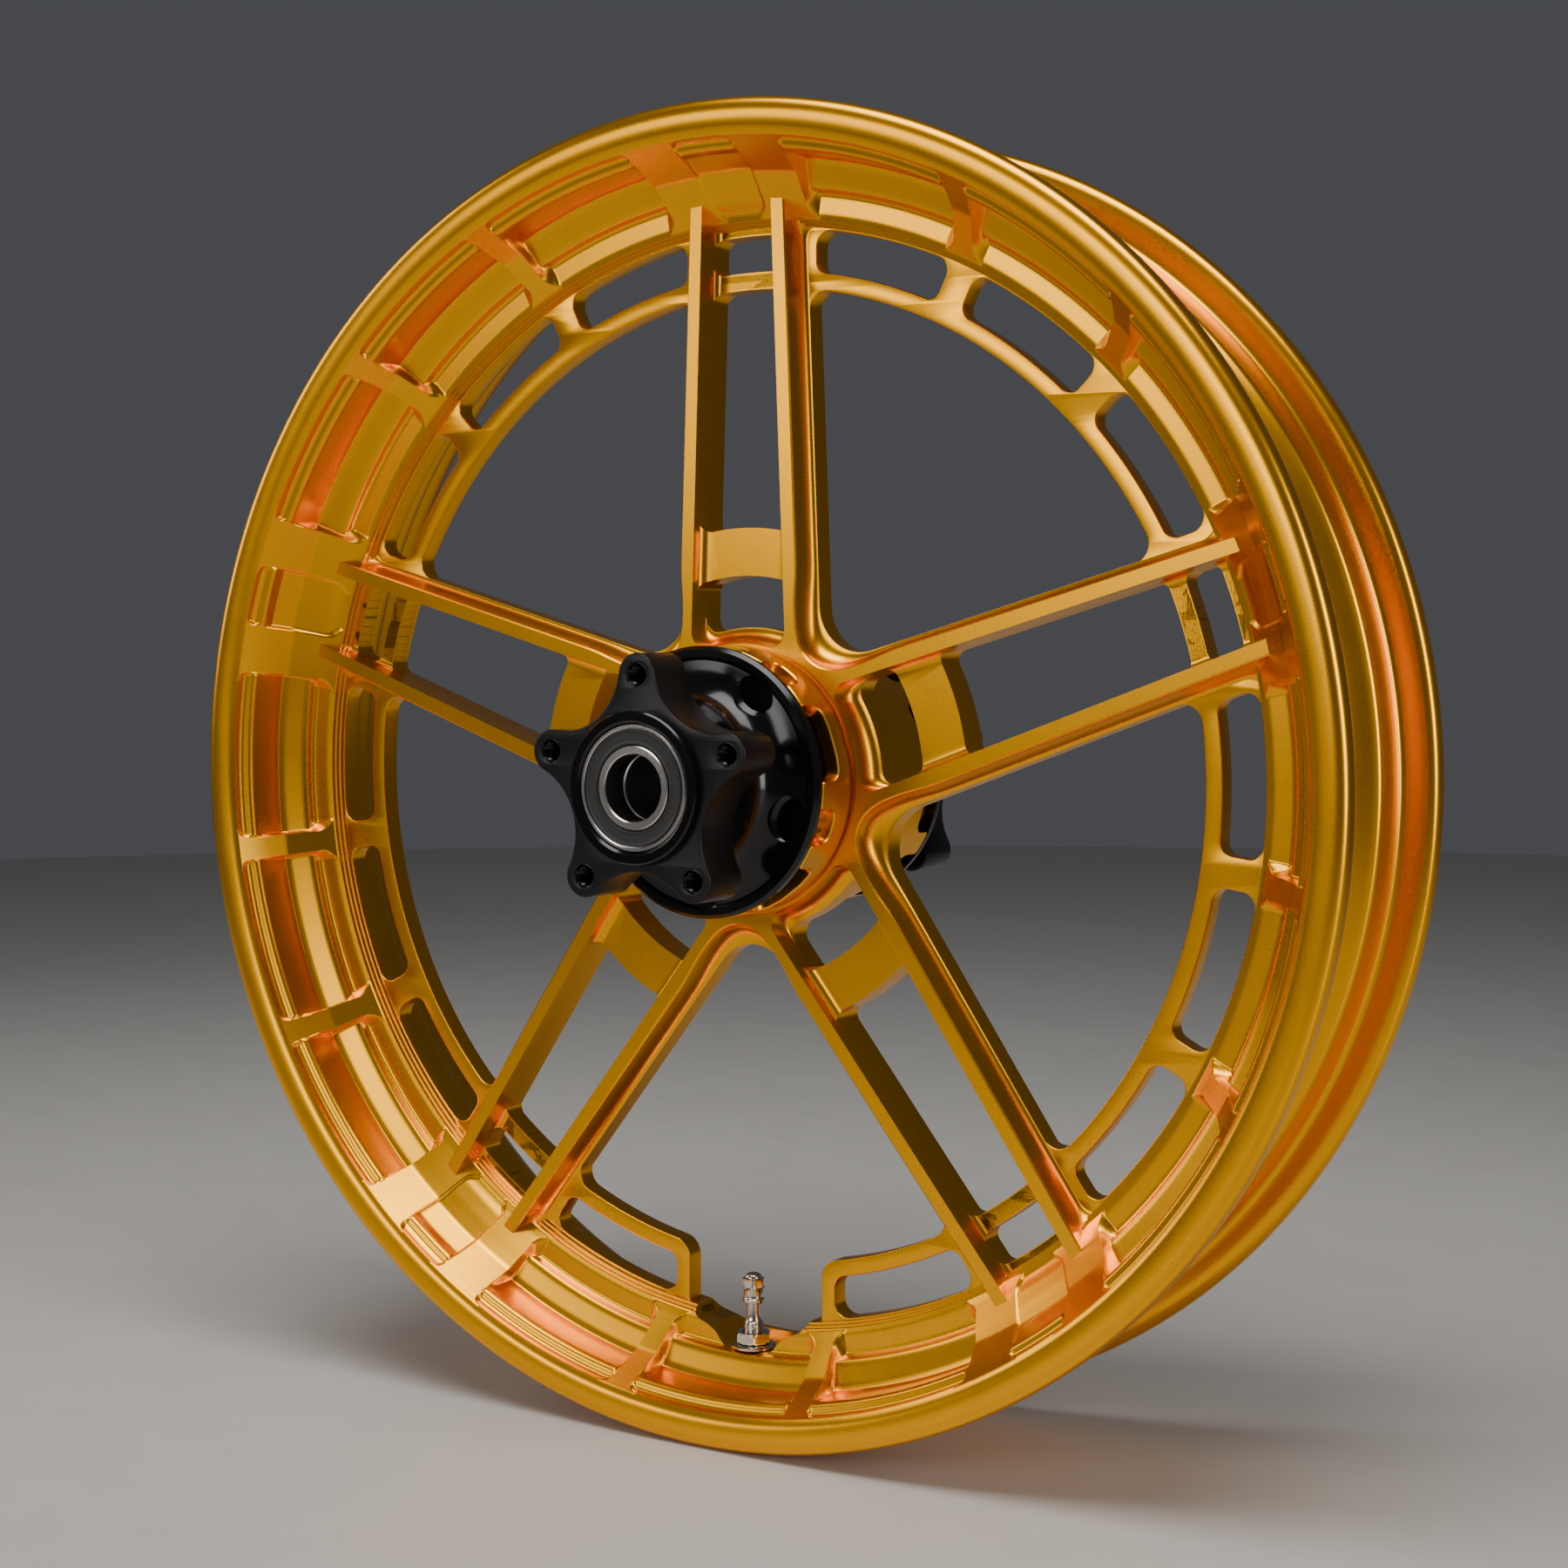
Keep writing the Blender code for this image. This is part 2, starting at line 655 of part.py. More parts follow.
def bearing(label, side, mats):
    steel, cage_mat, rubber = mats
    middle = side * BEARING_MID_Y
    half = BEARING_WIDTH / 2
    inner_groove = [(min(r, INNER_RACE_R), y) for r, y in groove("axis")]
    inner = [
        (BEARING_BORE_R, half),
        (BEARING_BORE_R, -half),
        (INNER_RACE_R, -half),
        *inner_groove,
        (INNER_RACE_R, half),
    ]
    race(f"bearing_{label}_inner_race", inner, middle, steel)
    seal_r = OUTER_RACE_IN_R + 1.1
    seal_seat = half - SEAL_THICK - 0.6
    outer_groove = [(max(r, OUTER_RACE_IN_R), y) for r, y in groove("rim")]
    outer = [
        (BEARING_R, half),
        (BEARING_R, -half),
        (seal_r + GAP, -half),
        (seal_r + GAP, -seal_seat),
        (OUTER_RACE_IN_R, -seal_seat),
        *outer_groove,
        (OUTER_RACE_IN_R, seal_seat),
        (seal_r + GAP, seal_seat),
        (seal_r + GAP, half),
    ]
    race(f"bearing_{label}_outer_race", outer, middle, steel)
    for place, sign in (("outer", side), ("inner", -side)):
        low, high = sorted((sign * (seal_seat + GAP), sign * (seal_seat + GAP + SEAL_THICK)))
        ring = [
            (INNER_RACE_R + GAP, low),
            (seal_r, low),
            (seal_r, high),
            (INNER_RACE_R + GAP, high),
        ]
        race(f"bearing_{label}_seal_{place}", ring, middle, rubber)
    cage_and_balls(label, middle, cage_mat, steel)


def cage_and_balls(label, middle, cage_mat, steel):
    half = CAGE_THICK / 2
    ring = [
        (PITCH_R - half, middle - CAGE_HALF),
        (PITCH_R + half, middle - CAGE_HALF),
        (PITCH_R + half, middle + CAGE_HALF),
        (PITCH_R - half, middle + CAGE_HALF),
    ]
    cage = revolve(f"bearing_{label}_cage", ring, parts, cage_mat, steps=TURN_STEPS)
    cuts = []
    for number in range(BALLS):
        angle = 360 / BALLS * number
        x, z = polar(PITCH_R, angle)
        bm = bmesh.new()
        bmesh.ops.create_uvsphere(bm, u_segments=8, v_segments=5, radius=BALL_R)
        bmesh.ops.translate(bm, vec=(x, middle, z), verts=bm.verts)
        new_object(f"bearing_{label}_ball_{number + 1:02d}", bm, parts, steel)
        bm = bmesh.new()
        pocket_r = BALL_R + 0.45
        bmesh.ops.create_cone(
            bm, cap_ends=True, segments=8, radius1=pocket_r, radius2=pocket_r, depth=CAGE_THICK + 4.0
        )
        bmesh.ops.translate(bm, vec=(0, 0, PITCH_R), verts=bm.verts)
        turn = Matrix.Rotation(math.radians(90 - angle), 3, "Y")
        bmesh.ops.rotate(bm, cent=(0, 0, 0), matrix=turn, verts=bm.verts)
        bmesh.ops.translate(bm, vec=(0, middle, 0), verts=bm.verts)
        cuts.append(new_object(f"{label}_ball_pocket_{number}", bm, tools))
    boolean(cage, cuts, "DIFFERENCE")


def axle_spacer(mat):
    end = BEARING_OUT_Y - BEARING_WIDTH - GAP
    outer = BEARING_BORE_R + SPACER_WALL
    profile = [(BEARING_BORE_R, -end), (outer, -end), (outer, end), (BEARING_BORE_R, end)]
    revolve("axle_spacer", profile, parts, mat, steps=RACE_STEPS)


# ---------------------------------------------------------------- valve


def turned_on_valve(name, profile, mat, steps=12):
    """Turns (radius, height over the seat) about the valve's line; height runs to the wheel centre."""
    bm = revolve_mesh([(r, h) for r, h in profile], steps)
    bmesh.ops.rotate(bm, cent=(0, 0, 0), matrix=Matrix.Rotation(math.pi / 2, 3, "X"), verts=bm.verts)
    obj = new_object(name, bm, parts, mat)
    obj.location = Vector((0, VALVE_Y, -VALVE_SEAT_R)) * MM
    return obj


def valve(mats):
    nickel, rubber = mats
    wall = WELL_R - VALVE_SEAT_R
    washer_top = 1.6 + GAP
    nut_top = washer_top + GAP + 4.2
    stem = [
        (1.6, -wall - 3.6),
        (6.0, -wall - 3.6),
        (6.0, -wall - 1.8 - GAP),
        (VALVE_STEM_R, -wall - 1.8 - GAP),
        (VALVE_STEM_R, nut_top + 2.6),
        (VALVE_THREAD_R, nut_top + 3.2),
        (VALVE_THREAD_R - 1.2, nut_top + 7.0),
        (VALVE_THREAD_R - 1.2, VALVE_LENGTH),
        (1.6, VALVE_LENGTH),
    ]
    turned_on_valve("valve_stem", stem, nickel)
    grommet = [
        (VALVE_STEM_R + GAP, -wall - 1.8),
        (6.4, -wall - 1.8),
        (6.4, -wall - GAP),
        (VALVE_STEM_R + GAP, -wall - GAP),
    ]
    turned_on_valve("valve_seal", grommet, rubber)
    washer = [(VALVE_STEM_R + GAP, GAP), (9.0, GAP), (9.0, washer_top), (VALVE_STEM_R + GAP, washer_top)]
    turned_on_valve("valve_washer", washer, nickel)
    hexagon = [(0.0, washer_top + GAP), (NUT_R, washer_top + GAP), (NUT_R, nut_top), (0.0, nut_top)]
    nut = turned_on_valve("valve_nut", hexagon, nickel, steps=6)
    low, high = washer_top - VALVE_SEAT_R, nut_top + 1.0 - VALVE_SEAT_R
    bore = cylinder("valve_nut_bore", VALVE_STEM_R + GAP, low, high, (0, VALVE_Y), tools, axis="Z")
    boolean(nut, [bore], "DIFFERENCE")
    core = [(0.0, 4.0), (1.2, 4.0), (1.2, VALVE_LENGTH - 1.0), (0.0, VALVE_LENGTH - 1.0)]
    turned_on_valve("valve_core", core, nickel, steps=12)
    cap_low = VALVE_LENGTH - 6.0
    cap_top = cap_low + CAP_LENGTH
    cap = [
        (VALVE_THREAD_R - 1.2 + GAP, cap_low),
        (CAP_R, cap_low),
        (CAP_R, cap_top - 3.0),
        (CAP_R - 1.2, cap_top - 1.0),
        (CAP_R - 3.0, cap_top),
        (0.0, cap_top),
        (0.0, VALVE_LENGTH + 1.0),
        (VALVE_THREAD_R - 1.2 + GAP, VALVE_LENGTH + 1.0),
    ]
    turned_on_valve("valve_cap", cap, nickel)


clear_scene()
parts = collection("forged_racing_wheel")
tools = collection("construction_solids", hidden=True)

gold = material("gold_anodised", (0.62, 0.33, 0.02), 0.9, 0.38)
black = material("black_anodised", (0.045, 0.042, 0.045), 0.6, 0.35)
steel = material("bearing_steel", (0.62, 0.60, 0.58), 1.0, 0.22)
brass = material("cage_brass", (0.55, 0.42, 0.20), 1.0, 0.35)
rubber = material("seal_rubber", (0.05, 0.05, 0.055), 0.0, 0.6)
alloy = material("spacer_alloy", (0.55, 0.56, 0.58), 1.0, 0.35)
pin_steel = material("pin_steel", (0.3, 0.3, 0.31), 1.0, 0.35)
nickel = material("valve_nickel", (0.62, 0.57, 0.50), 1.0, 0.18)

forged_wheel(gold)
for hub_label, hub_side in (("left", -1), ("right", 1)):
    hub_carrier(f"hub_{hub_label}", hub_side, black)
    hub_pins(hub_label, hub_side, pin_steel)
    bearing(hub_label, hub_side, (steel, brass, rubber))
axle_spacer(alloy)
valve((nickel, rubber))
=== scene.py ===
"""The looks of a forged motorcycle front wheel: gold rim and spokes, black hubs, bearings and valve.

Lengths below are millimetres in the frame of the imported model: Y is the spin axis, the show face is at -Y.
"""

import json
import math

import bmesh
import bpy
from mathutils import Matrix, Vector

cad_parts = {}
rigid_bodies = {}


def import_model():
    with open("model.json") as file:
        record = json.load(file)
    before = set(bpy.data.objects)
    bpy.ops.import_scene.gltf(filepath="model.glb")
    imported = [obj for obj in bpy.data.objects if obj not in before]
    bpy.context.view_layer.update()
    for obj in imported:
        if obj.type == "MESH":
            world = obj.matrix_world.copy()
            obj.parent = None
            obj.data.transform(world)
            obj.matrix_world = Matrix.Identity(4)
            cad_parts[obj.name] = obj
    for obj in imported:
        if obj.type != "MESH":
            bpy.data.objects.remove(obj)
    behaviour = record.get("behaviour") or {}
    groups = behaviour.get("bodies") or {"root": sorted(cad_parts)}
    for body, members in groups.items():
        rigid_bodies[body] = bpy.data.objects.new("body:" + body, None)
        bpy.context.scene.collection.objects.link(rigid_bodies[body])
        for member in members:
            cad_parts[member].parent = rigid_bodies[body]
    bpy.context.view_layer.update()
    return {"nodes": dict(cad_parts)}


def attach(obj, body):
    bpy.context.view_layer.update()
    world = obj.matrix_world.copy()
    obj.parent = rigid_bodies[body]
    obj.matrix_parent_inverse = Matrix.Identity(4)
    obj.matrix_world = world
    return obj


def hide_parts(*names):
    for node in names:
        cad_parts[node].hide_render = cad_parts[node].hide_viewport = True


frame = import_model()

MM = 0.001

# ---- rim section ----
LIP_R = 255.5
RIM_HALF = 52.25
BEAD_R = 241.2
BEAD_HALF = 41.25
SLOPE_TOP = 25.75
WELL_R = 229.5
WELL_HALF = 19.8
WALL = 4.2
ROOT_R = 212.6

# ---- spoke plane ----
FACE_Y = -23.0
LEDGE_Y = -12.5
BACK_Y = -3.0
PAIRS = [90 + 72 * i for i in range(5)]
VALVE_SECTOR = 270.0
RING_IN_R = 189.5
RING_OUT_R = 196.0
SLOT_OUT_R = 212.0
PAIR_WINDOW_R = 210.0
RIB_ANGLE = 9.9
RIB_HALF = 5.75
BRIDGE_IN_R = 79.0
BRIDGE_OUT_R = 97.5
BRIDGE_Y = -17.0
SILL_FACE_R = 53.3
SILL_R = 59.0
VALVE_GAP_HALF = 31.0
HUB_V = 18.0
V_EXTRA = 4.9
FLARE = 8.0
FLARE_FROM = 205.0
SLOT_FROM_AXIS = 29.8
RING_CORNER = 7.0

# ---- pockets in the rim's shoulder ----
POCKET_PITCH = 19.4
POCKET_SPAN = 17.2
SMALL_SPAN = 6.4
POCKET_CORNER = 6.0
POCKET_WALL = 1.2
SMALL_DEPTH = 1.3
POCKET_LIP_Y = -49.5
POCKET_END_Y = -17.2
POCKET_MEAN_R = 232

# ---- centre ----
DRUM_R = 52.0
DRUM_IN_R = 46.5
DRUM_HALF = 44.5
POST_CIRCLE_R = 41.5
POST_R = 7.0


def polar(radius, degrees):
    angle = math.radians(degrees)
    return radius * math.cos(angle), radius * math.sin(angle)


def turned(point, degrees):
    """A (radial, sideways) point with its radial direction at this angle, as (x, z)."""
    c, s = polar(1.0, degrees)
    return point[0] * c - point[1] * s, point[0] * s + point[1] * c


def smooth(t):
    t = min(max(t, 0.0), 1.0)
    return t * t * (3 - 2 * t)


def along(points, spacing):
    """Points on a polyline, at even spacing."""
    made = [points[0]]
    for a, b in zip(points, points[1:]):
        length = math.dist(a, b)
        count = max(1, round(length / spacing))
        for i in range(1, count + 1):
            made.append(tuple(p + (q - p) * i / count for p, q in zip(a, b)))
    return made


def softened(points, times):
    """Rounds a fine polyline's corners by averaging; the ends stay."""
    for _ in range(times):
        inner = [
            tuple((p + 2 * q + r) / 4 for p, q, r in zip(a, b, c))
            for a, b, c in zip(points, points[1:], points[2:])
        ]
        points = [points[0], *inner, points[-1]]
    return points


def mesh_object(name, verts, faces, mat, sharp=32):
    mesh = bpy.data.meshes.new(name)
    mesh.from_pydata([(x * MM, y * MM, z * MM) for x, y, z in verts], [], faces)
    bm = bmesh.new()
    bm.from_mesh(mesh)
    bmesh.ops.remove_doubles(bm, verts=bm.verts, dist=1e-7)
    bmesh.ops.recalc_face_normals(bm, faces=bm.faces)
    bm.to_mesh(mesh)
    bm.free()
    mesh.shade_smooth()
    mesh.set_sharp_from_angle(angle=math.radians(sharp))
    obj = bpy.data.objects.new(name, mesh)
    bpy.context.scene.collection.objects.link(obj)
    if mat:
        mesh.materials.append(mat)
    return obj


def loft(name, sections, mat, closed=False, sharp=32):
    """Joins equal sections of 3-D points; closed joins the last to the first, else the ends are capped."""
    size = len(sections[0])
    verts = [point for section in sections for point in section]
    count = len(sections)
    faces = []
    for i in range(count if closed else count - 1):
        a, b = i * size, (i + 1) % count * size
        for j in range(size):
            k = (j + 1) % size
            faces.append((a + j, a + k, b + k, b + j))
    if not closed:
        faces.append(tuple(range(size)))
        faces.append(tuple(range((count - 1) * size, count * size)))
    return mesh_object(name, verts, faces, mat, sharp)


def revolve(name, profile, mat, steps=180, sharp=32):
    """Turns a closed (radius, y) profile about the spin axis."""
    sections = []
    for i in range(steps):
        c, s = polar(1.0, 360 * i / steps)
        sections.append([(r * c, y, r * s) for r, y in profile])
    return loft(name, sections, mat, closed=True, sharp=sharp)


def line_circle(line, radius, fillet, inward):
    """Fillet between a line and a circle about the centre.

    line is (point, direction, normal into the hole); inward is -1 where the hole lies inside the circle and
    1 where it lies outside. Returns the fillet's centre and its points of contact.
    """
    point, direction, normal = line
    target = radius + inward * fillet
    start = point + normal * fillet
    b = start.dot(direction)
    reach = math.sqrt(max(b * b - start.dot(start) + target * target, 0.0))
    centre = start + direction * (reach - b)
    return centre, centre - normal * fillet, centre.normalized() * radius


def arc_between(centre, start, end, steps=8):
    """Points of the shorter arc about centre from start to end, both included."""
    a = math.atan2((start - centre).y, (start - centre).x)
    turn = math.atan2((end - centre).y, (end - centre).x) - a
    turn = (turn + math.pi) % (2 * math.pi) - math.pi
    radius = (start - centre).length
    return [
        centre + Vector((math.cos(a + turn * i / steps), math.sin(a + turn * i / steps))) * radius
        for i in range(steps + 1)
    ]


def circle_arc(radius, start, end, spacing=3.0):
    """Points on a circle about the wheel's centre between two of its points, ends left out."""
    steps = max(2, round((start - end).length / spacing))
    return arc_between(Vector((0.0, 0.0)), start, end, steps)[1:-1]


def ring_hole(line_a, line_b, inner_r, outer_r, fillet_in, fillet_out):
    """A hole between two lines and two circles, corners rounded. line_a is on the clockwise side."""
    points = []
    ca, la, oa = line_circle(line_a, outer_r, fillet_out, -1)
    cb, lb, ob = line_circle(line_b, outer_r, fillet_out, -1)
    ci, li, ia = line_circle(line_a, inner_r, fillet_in, 1)
    cj, lj, ib = line_circle(line_b, inner_r, fillet_in, 1)
    points += arc_between(ca, la, oa) + circle_arc(outer_r, oa, ob) + arc_between(cb, ob, lb)
    points += arc_between(cj, lj, ib) + circle_arc(inner_r, ib, ia) + arc_between(ci, ia, li)
    return [(p.x, p.y) for p in points]


def face_out(u):
    """How far a bar's outer face edge lies from its pair's axis."""
    return 29.7 - 0.037 * u


def face_in(u):
    return 23.5 - 0.035 * u


def edge_line(pair, side, offset):
    """The line v = side * offset(u) of a pair, as (point, direction, normal away from the pair's axis)."""
    a = Vector(turned((60.0, side * offset(60.0)), pair))
    b = Vector(turned((200.0, side * offset(200.0)), pair))
    direction = (b - a).normalized()
    normal = Vector((-direction.y, direction.x)) * side
    return a, direction, normal


def flipped(line):
    point, direction, normal = line
    return point, direction, -normal


def parallel_line(angle, offset, side):
    """A line parallel to the radius at this angle, shifted by offset along the turning direction."""
    point = Vector(turned((100.0, offset), angle))
    direction = Vector(polar(1.0, angle))
    return point, direction, Vector((-direction.y, direction.x)) * side


def plate(name, outline, holes, low, high, edge, mat):
    """A flat plate with rounded edges from (x, z) outlines, between two y values."""
    curve = bpy.data.curves.new(name, "CURVE")
    curve.dimensions = "2D"
    curve.fill_mode = "BOTH"
    curve.bevel_depth = edge * MM
    curve.bevel_resolution = 2
    curve.offset = -edge * MM
    curve.extrude = ((high - low) / 2 - edge) * MM
    for points in (outline, *holes):
        spline = curve.splines.new("POLY")
        spline.points.add(len(points) - 1)
        for spot, (x, z) in zip(spline.points, points):
            spot.co = (x * MM, z * MM, 0, 1)
        spline.use_cyclic_u = True
    maker = bpy.data.objects.new(name + "_curve", curve)
    bpy.context.scene.collection.objects.link(maker)
    graph = bpy.context.evaluated_depsgraph_get()
    mesh = bpy.data.meshes.new_from_object(maker.evaluated_get(graph))
    bpy.data.objects.remove(maker)
    bpy.data.curves.remove(curve)
    mesh.name = name
    middle = (high + low) / 2 * MM
    mesh.transform(Matrix.Translation((0, middle, 0)) @ Matrix.Rotation(math.pi / 2, 4, "X"))
    bm = bmesh.new()
    bm.from_mesh(mesh)
    bmesh.ops.remove_doubles(bm, verts=bm.verts, dist=2e-6)
    bmesh.ops.recalc_face_normals(bm, faces=bm.faces)
    bm.to_mesh(mesh)
    bm.free()
    mesh.shade_smooth()
    mesh.set_sharp_from_angle(angle=math.radians(32))
    mesh.materials.clear()
    mesh.materials.append(mat)
    obj = bpy.data.objects.new(name, mesh)
    bpy.context.scene.collection.objects.link(obj)
    return obj


def cut(obj, cutters, sharp=32):
    """Takes the cutters away from the piece and shades the result again."""
    group = bpy.data.collections.new(obj.name + "_cutters")
    for cutter in cutters:
        bpy.context.scene.collection.objects.unlink(cutter)
        group.objects.link(cutter)
    step = obj.modifiers.new("cut", "BOOLEAN")
    step.operation = "DIFFERENCE"
    step.solver = "MANIFOLD"
    step.operand_type = "COLLECTION"
    step.collection = group
    graph = bpy.context.evaluated_depsgraph_get()
    mesh = bpy.data.meshes.new_from_object(obj.evaluated_get(graph))
    obj.modifiers.clear()
    mat = obj.data.materials[0]
    obj.data = mesh
    mesh.materials.clear()
    mesh.materials.append(mat)
    bm = bmesh.new()
    bm.from_mesh(mesh)
    bmesh.ops.dissolve_degenerate(bm, dist=1e-6, edges=bm.edges)
    bm.to_mesh(mesh)
    bm.free()
    mesh.shade_smooth()
    mesh.set_sharp_from_angle(angle=math.radians(sharp))
    for cutter in list(group.objects):
        bpy.data.objects.remove(cutter)
    bpy.data.collections.remove(group)


def grown(points, amount):
    """A closed outline moved outwards by amount along its normals."""
    area = sum(a[0] * b[1] - b[0] * a[1] for a, b in zip(points, points[1:] + points[:1]))
    sign = 1 if area > 0 else -1
    made = []
    for before, here, after in zip(points[-1:] + points[:-1], points, points[1:] + points[:1]):
        normal = Vector((0.0, 0.0))
        for a, b in ((before, here), (here, after)):
            edge = Vector(b) - Vector(a)
            if edge.length > 1e-6:
                normal += Vector((edge.y, -edge.x)).normalized()
        normal = normal.normalized() * sign * amount
        made.append((here[0] + normal.x, here[1] + normal.y))
    return made


def stack(name, levels, mat, sharp=32):
    """A loft of flat (x, z) outlines, each at its own y."""
    sections = [[(x, y, z) for x, z in outline] for y, outline in levels]
    return loft(name, sections, mat, sharp=sharp)


def give(piece, body, slot, *nodes):
    """Sets what a piece rides on and hides the CAD nodes it stands for. The slot argument is not used."""
    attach(piece, body)
    if nodes:
        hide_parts(*nodes)


# ---------------------------------------------------------------- rim


def rim_pockets():
    """The pockets of one pair and the gap after it, as (middle, span) in degrees from the pair's axis."""
    return [(0.0, SMALL_SPAN)] + [(36.0 + step * POCKET_PITCH, POCKET_SPAN) for step in (-1, 0, 1)]


def rim_angles():
    """Directions for the rim's sections, close together at the pockets' sides."""
    found = set()
    for middle, span in rim_pockets():
        for sign in (-1, 1):
            found |= {round(middle + sign * (span / 2 + 0.1 - 0.09 * i), 3) for i in range(19)}
    fine = sorted(found)
    coarse = [i / 2 - 5.0 for i in range(144)]
    found |= {angle for angle in coarse if all(abs(angle - other) > 0.25 for other in fine)}
    return [90 + 72 * k + angle for k in range(5) for angle in sorted(found)]


def pocket_depth(angle, y, drop):
    """How far this spot lies in a pocket: 0 on the land, 1 on the floor, which is drop below the land."""
    local = (angle - 90 + 6) % 72 - 6
    near, span = min(rim_pockets(), key=lambda pocket: abs(local - pocket[0]) - pocket[1] / 2)
    half = math.radians(span / 2) * POCKET_MEAN_R
    from_end = min(y - POCKET_LIP_Y, POCKET_END_Y - y)
    if from_end < POCKET_CORNER:
        reach = POCKET_CORNER - max(from_end, 0.0)
        half -= POCKET_CORNER - math.sqrt(max(POCKET_CORNER**2 - reach**2, 0.0))
    inside = half - math.radians(abs(local - near)) * POCKET_MEAN_R
    depth = smooth(min(max(inside / POCKET_WALL, 0.0), 1.0))
    return depth * min(1.0, SMALL_DEPTH / max(drop, 0.01)) if span == SMALL_SPAN else depth


# The land between pockets and the pockets' floor as (radius, y) pairs that face each other, lip to shoulder.
LAND_AND_FLOOR = [
    ((241.5, -49.5), (241.5, -49.5)),
    ((240.9, -48.4), (241.7, -47.0)),
    ((239.9, -46.7), (240.8, -45.2)),
    ((239.0, -45.1), (238.0, -44.5)),
    ((238.2, -43.7), (237.0, -42.9)),
    ((231.0, -31.0), (237.0, -29.6)),
    ((227.5, -27.8), (236.6, -27.4)),
    ((224.6, -25.2), (234.6, -26.0)),
    ((220.5, -21.5), (227.4, -22.6)),
    ((219.6, -20.7), (225.8, -21.4)),
    ((218.4, -19.6), (225.5, -19.6)),
    ((217.6, -18.9), (225.1, -18.4)),
    ((217.0, -18.4), (224.2, -17.9)),
    ((216.3, -17.8), (217.2, -17.7)),
    ((215.7, -17.3), (215.7, -17.3)),
]


def rim(mat):
    """The whole rim as one loft round the wheel: tyre side, lip, pockets, shoulder and far barrel."""
    fixed_lip = [(254.9, -43.0), (LIP_R, -45.0), (LIP_R, -48.2), (254.9, -50.2), (253.2, -51.7)]
    fixed_lip += [(250.6, -RIM_HALF), (247.0, -52.0), (243.6, -51.2), (241.5, POCKET_LIP_Y)]
    fixed_lip = softened(along(fixed_lip, 0.8), 3)
    shoulder = [(215.7, -17.3), (214.9, -17.1), (214.7, -15.7), (213.9, -15.5), (213.7, -14.1)]
    shoulder += [(212.9, -13.9), (212.7, -12.4), (ROOT_R, -12.2), (ROOT_R, -3.4), (213.0, -2.8)]
    tyre = [(WELL_R, WELL_HALF - 1.0), (WELL_R, 1 - WELL_HALF), (WELL_R + 0.6, -WELL_HALF - 0.4)]
    tyre += [(239.2, -SLOPE_TOP + 0.4), (240.4, -SLOPE_TOP - 0.4), (240.0, -SLOPE_TOP - 1.6)]
    tyre += [(BEAD_R, -39.9), (BEAD_R + 0.9, -BEAD_HALF + 0.25), (BEAD_R + 2.2, -BEAD_HALF)]
    tyre += [(251.6, -BEAD_HALF), (253.8, -41.9), (254.9, -43.0)]
    barrel = [(213.0, -2.8), (216.5, 0.6), (WELL_R - WALL, 9.4), (WELL_R - WALL, WELL_HALF - 1.6)]
    barrel += [(WELL_R - WALL + 0.8, WELL_HALF), (235.6, 27.9), (236.9, 29.6), (237.2, 39.4)]
    barrel += [(238.2, 43.0), (242.6, 50.4), (245.4, 51.9), (250.6, RIM_HALF), (253.2, 51.7), (254.9, 50.2)]
    barrel += [(LIP_R, 48.2), (LIP_R, 45.0), (254.9, 43.0), (253.8, 41.9), (251.6, BEAD_HALF)]
    barrel += [(BEAD_R + 2.2, BEAD_HALF), (BEAD_R + 0.9, BEAD_HALF - 0.25), (BEAD_R, 39.9)]
    barrel += [(240.0, SLOPE_TOP + 1.6), (240.4, SLOPE_TOP + 0.4), (239.2, SLOPE_TOP - 0.4)]
    barrel += [(WELL_R + 0.6, WELL_HALF + 0.4), (WELL_R, WELL_HALF - 1.0)]
    tyre = softened(along(tyre, 2.4), 1)
    barrel = softened(along(barrel, 2.4), 1)
    pairs = []
    for (land_a, floor_a), (land_b, floor_b) in zip(LAND_AND_FLOOR, LAND_AND_FLOOR[1:]):
        length = max(math.dist(land_a, land_b), math.dist(floor_a, floor_b))
        count = max(2, round(length / 0.6))
        for i in range(count):
            t = i / count
            pairs.append(tuple(a + (b - a) * t for a, b in zip(land_a + floor_a, land_b + floor_b)))
    pairs.append(LAND_AND_FLOOR[-1][0] * 2)
    pairs = softened(pairs, 2)
    sections = []
    for angle in rim_angles():
        front = []
        for land_r, land_y, floor_r, floor_y in pairs:
            m = pocket_depth(angle, floor_y, math.dist((land_r, land_y), (floor_r, floor_y)))
            front.append((land_r + (floor_r - land_r) * m, land_y + (floor_y - land_y) * m))
        section = tyre[:-1] + fixed_lip[:-1] + front[:-1] + along(shoulder, 1.2)[:-1] + barrel[:-1]
        c, s = polar(1.0, angle)
        sections.append([(r * c, y, r * s) for r, y in section])
    return loft("rim", sections, mat, closed=True, sharp=70)


def valve_cutters():
    """The stepped recess at the valve and the hole through the well."""
    step = [(-27.0, -205.0), (-26.4, -212.0), (-24.0, -215.4), (-19.0, -217.2), (-15.0, -219.6)]
    step += [(-12.4, -223.0), (-11.4, -224.6), (-9.6, -225.0)]
    half = softened(along(step, 0.8), 4)
    outline = half + [(-x, z) for x, z in reversed(half)]
    recess = stack("valve_recess", [(-23.0, grown(outline, 0.8)), (-21.4, outline), (7.0, outline)], None)
    circle = [polar(4.6, 360 * i / 32) for i in range(32)]
    sections = [[(x, -13.0 + y, z) for x, y in circle] for z in (-236.0, -205.0)]
    return recess, loft("valve_bore", sections, None)


# ---------------------------------------------------------------- spokes


def ledge_out(u):
    return face_out(u) + 3.6


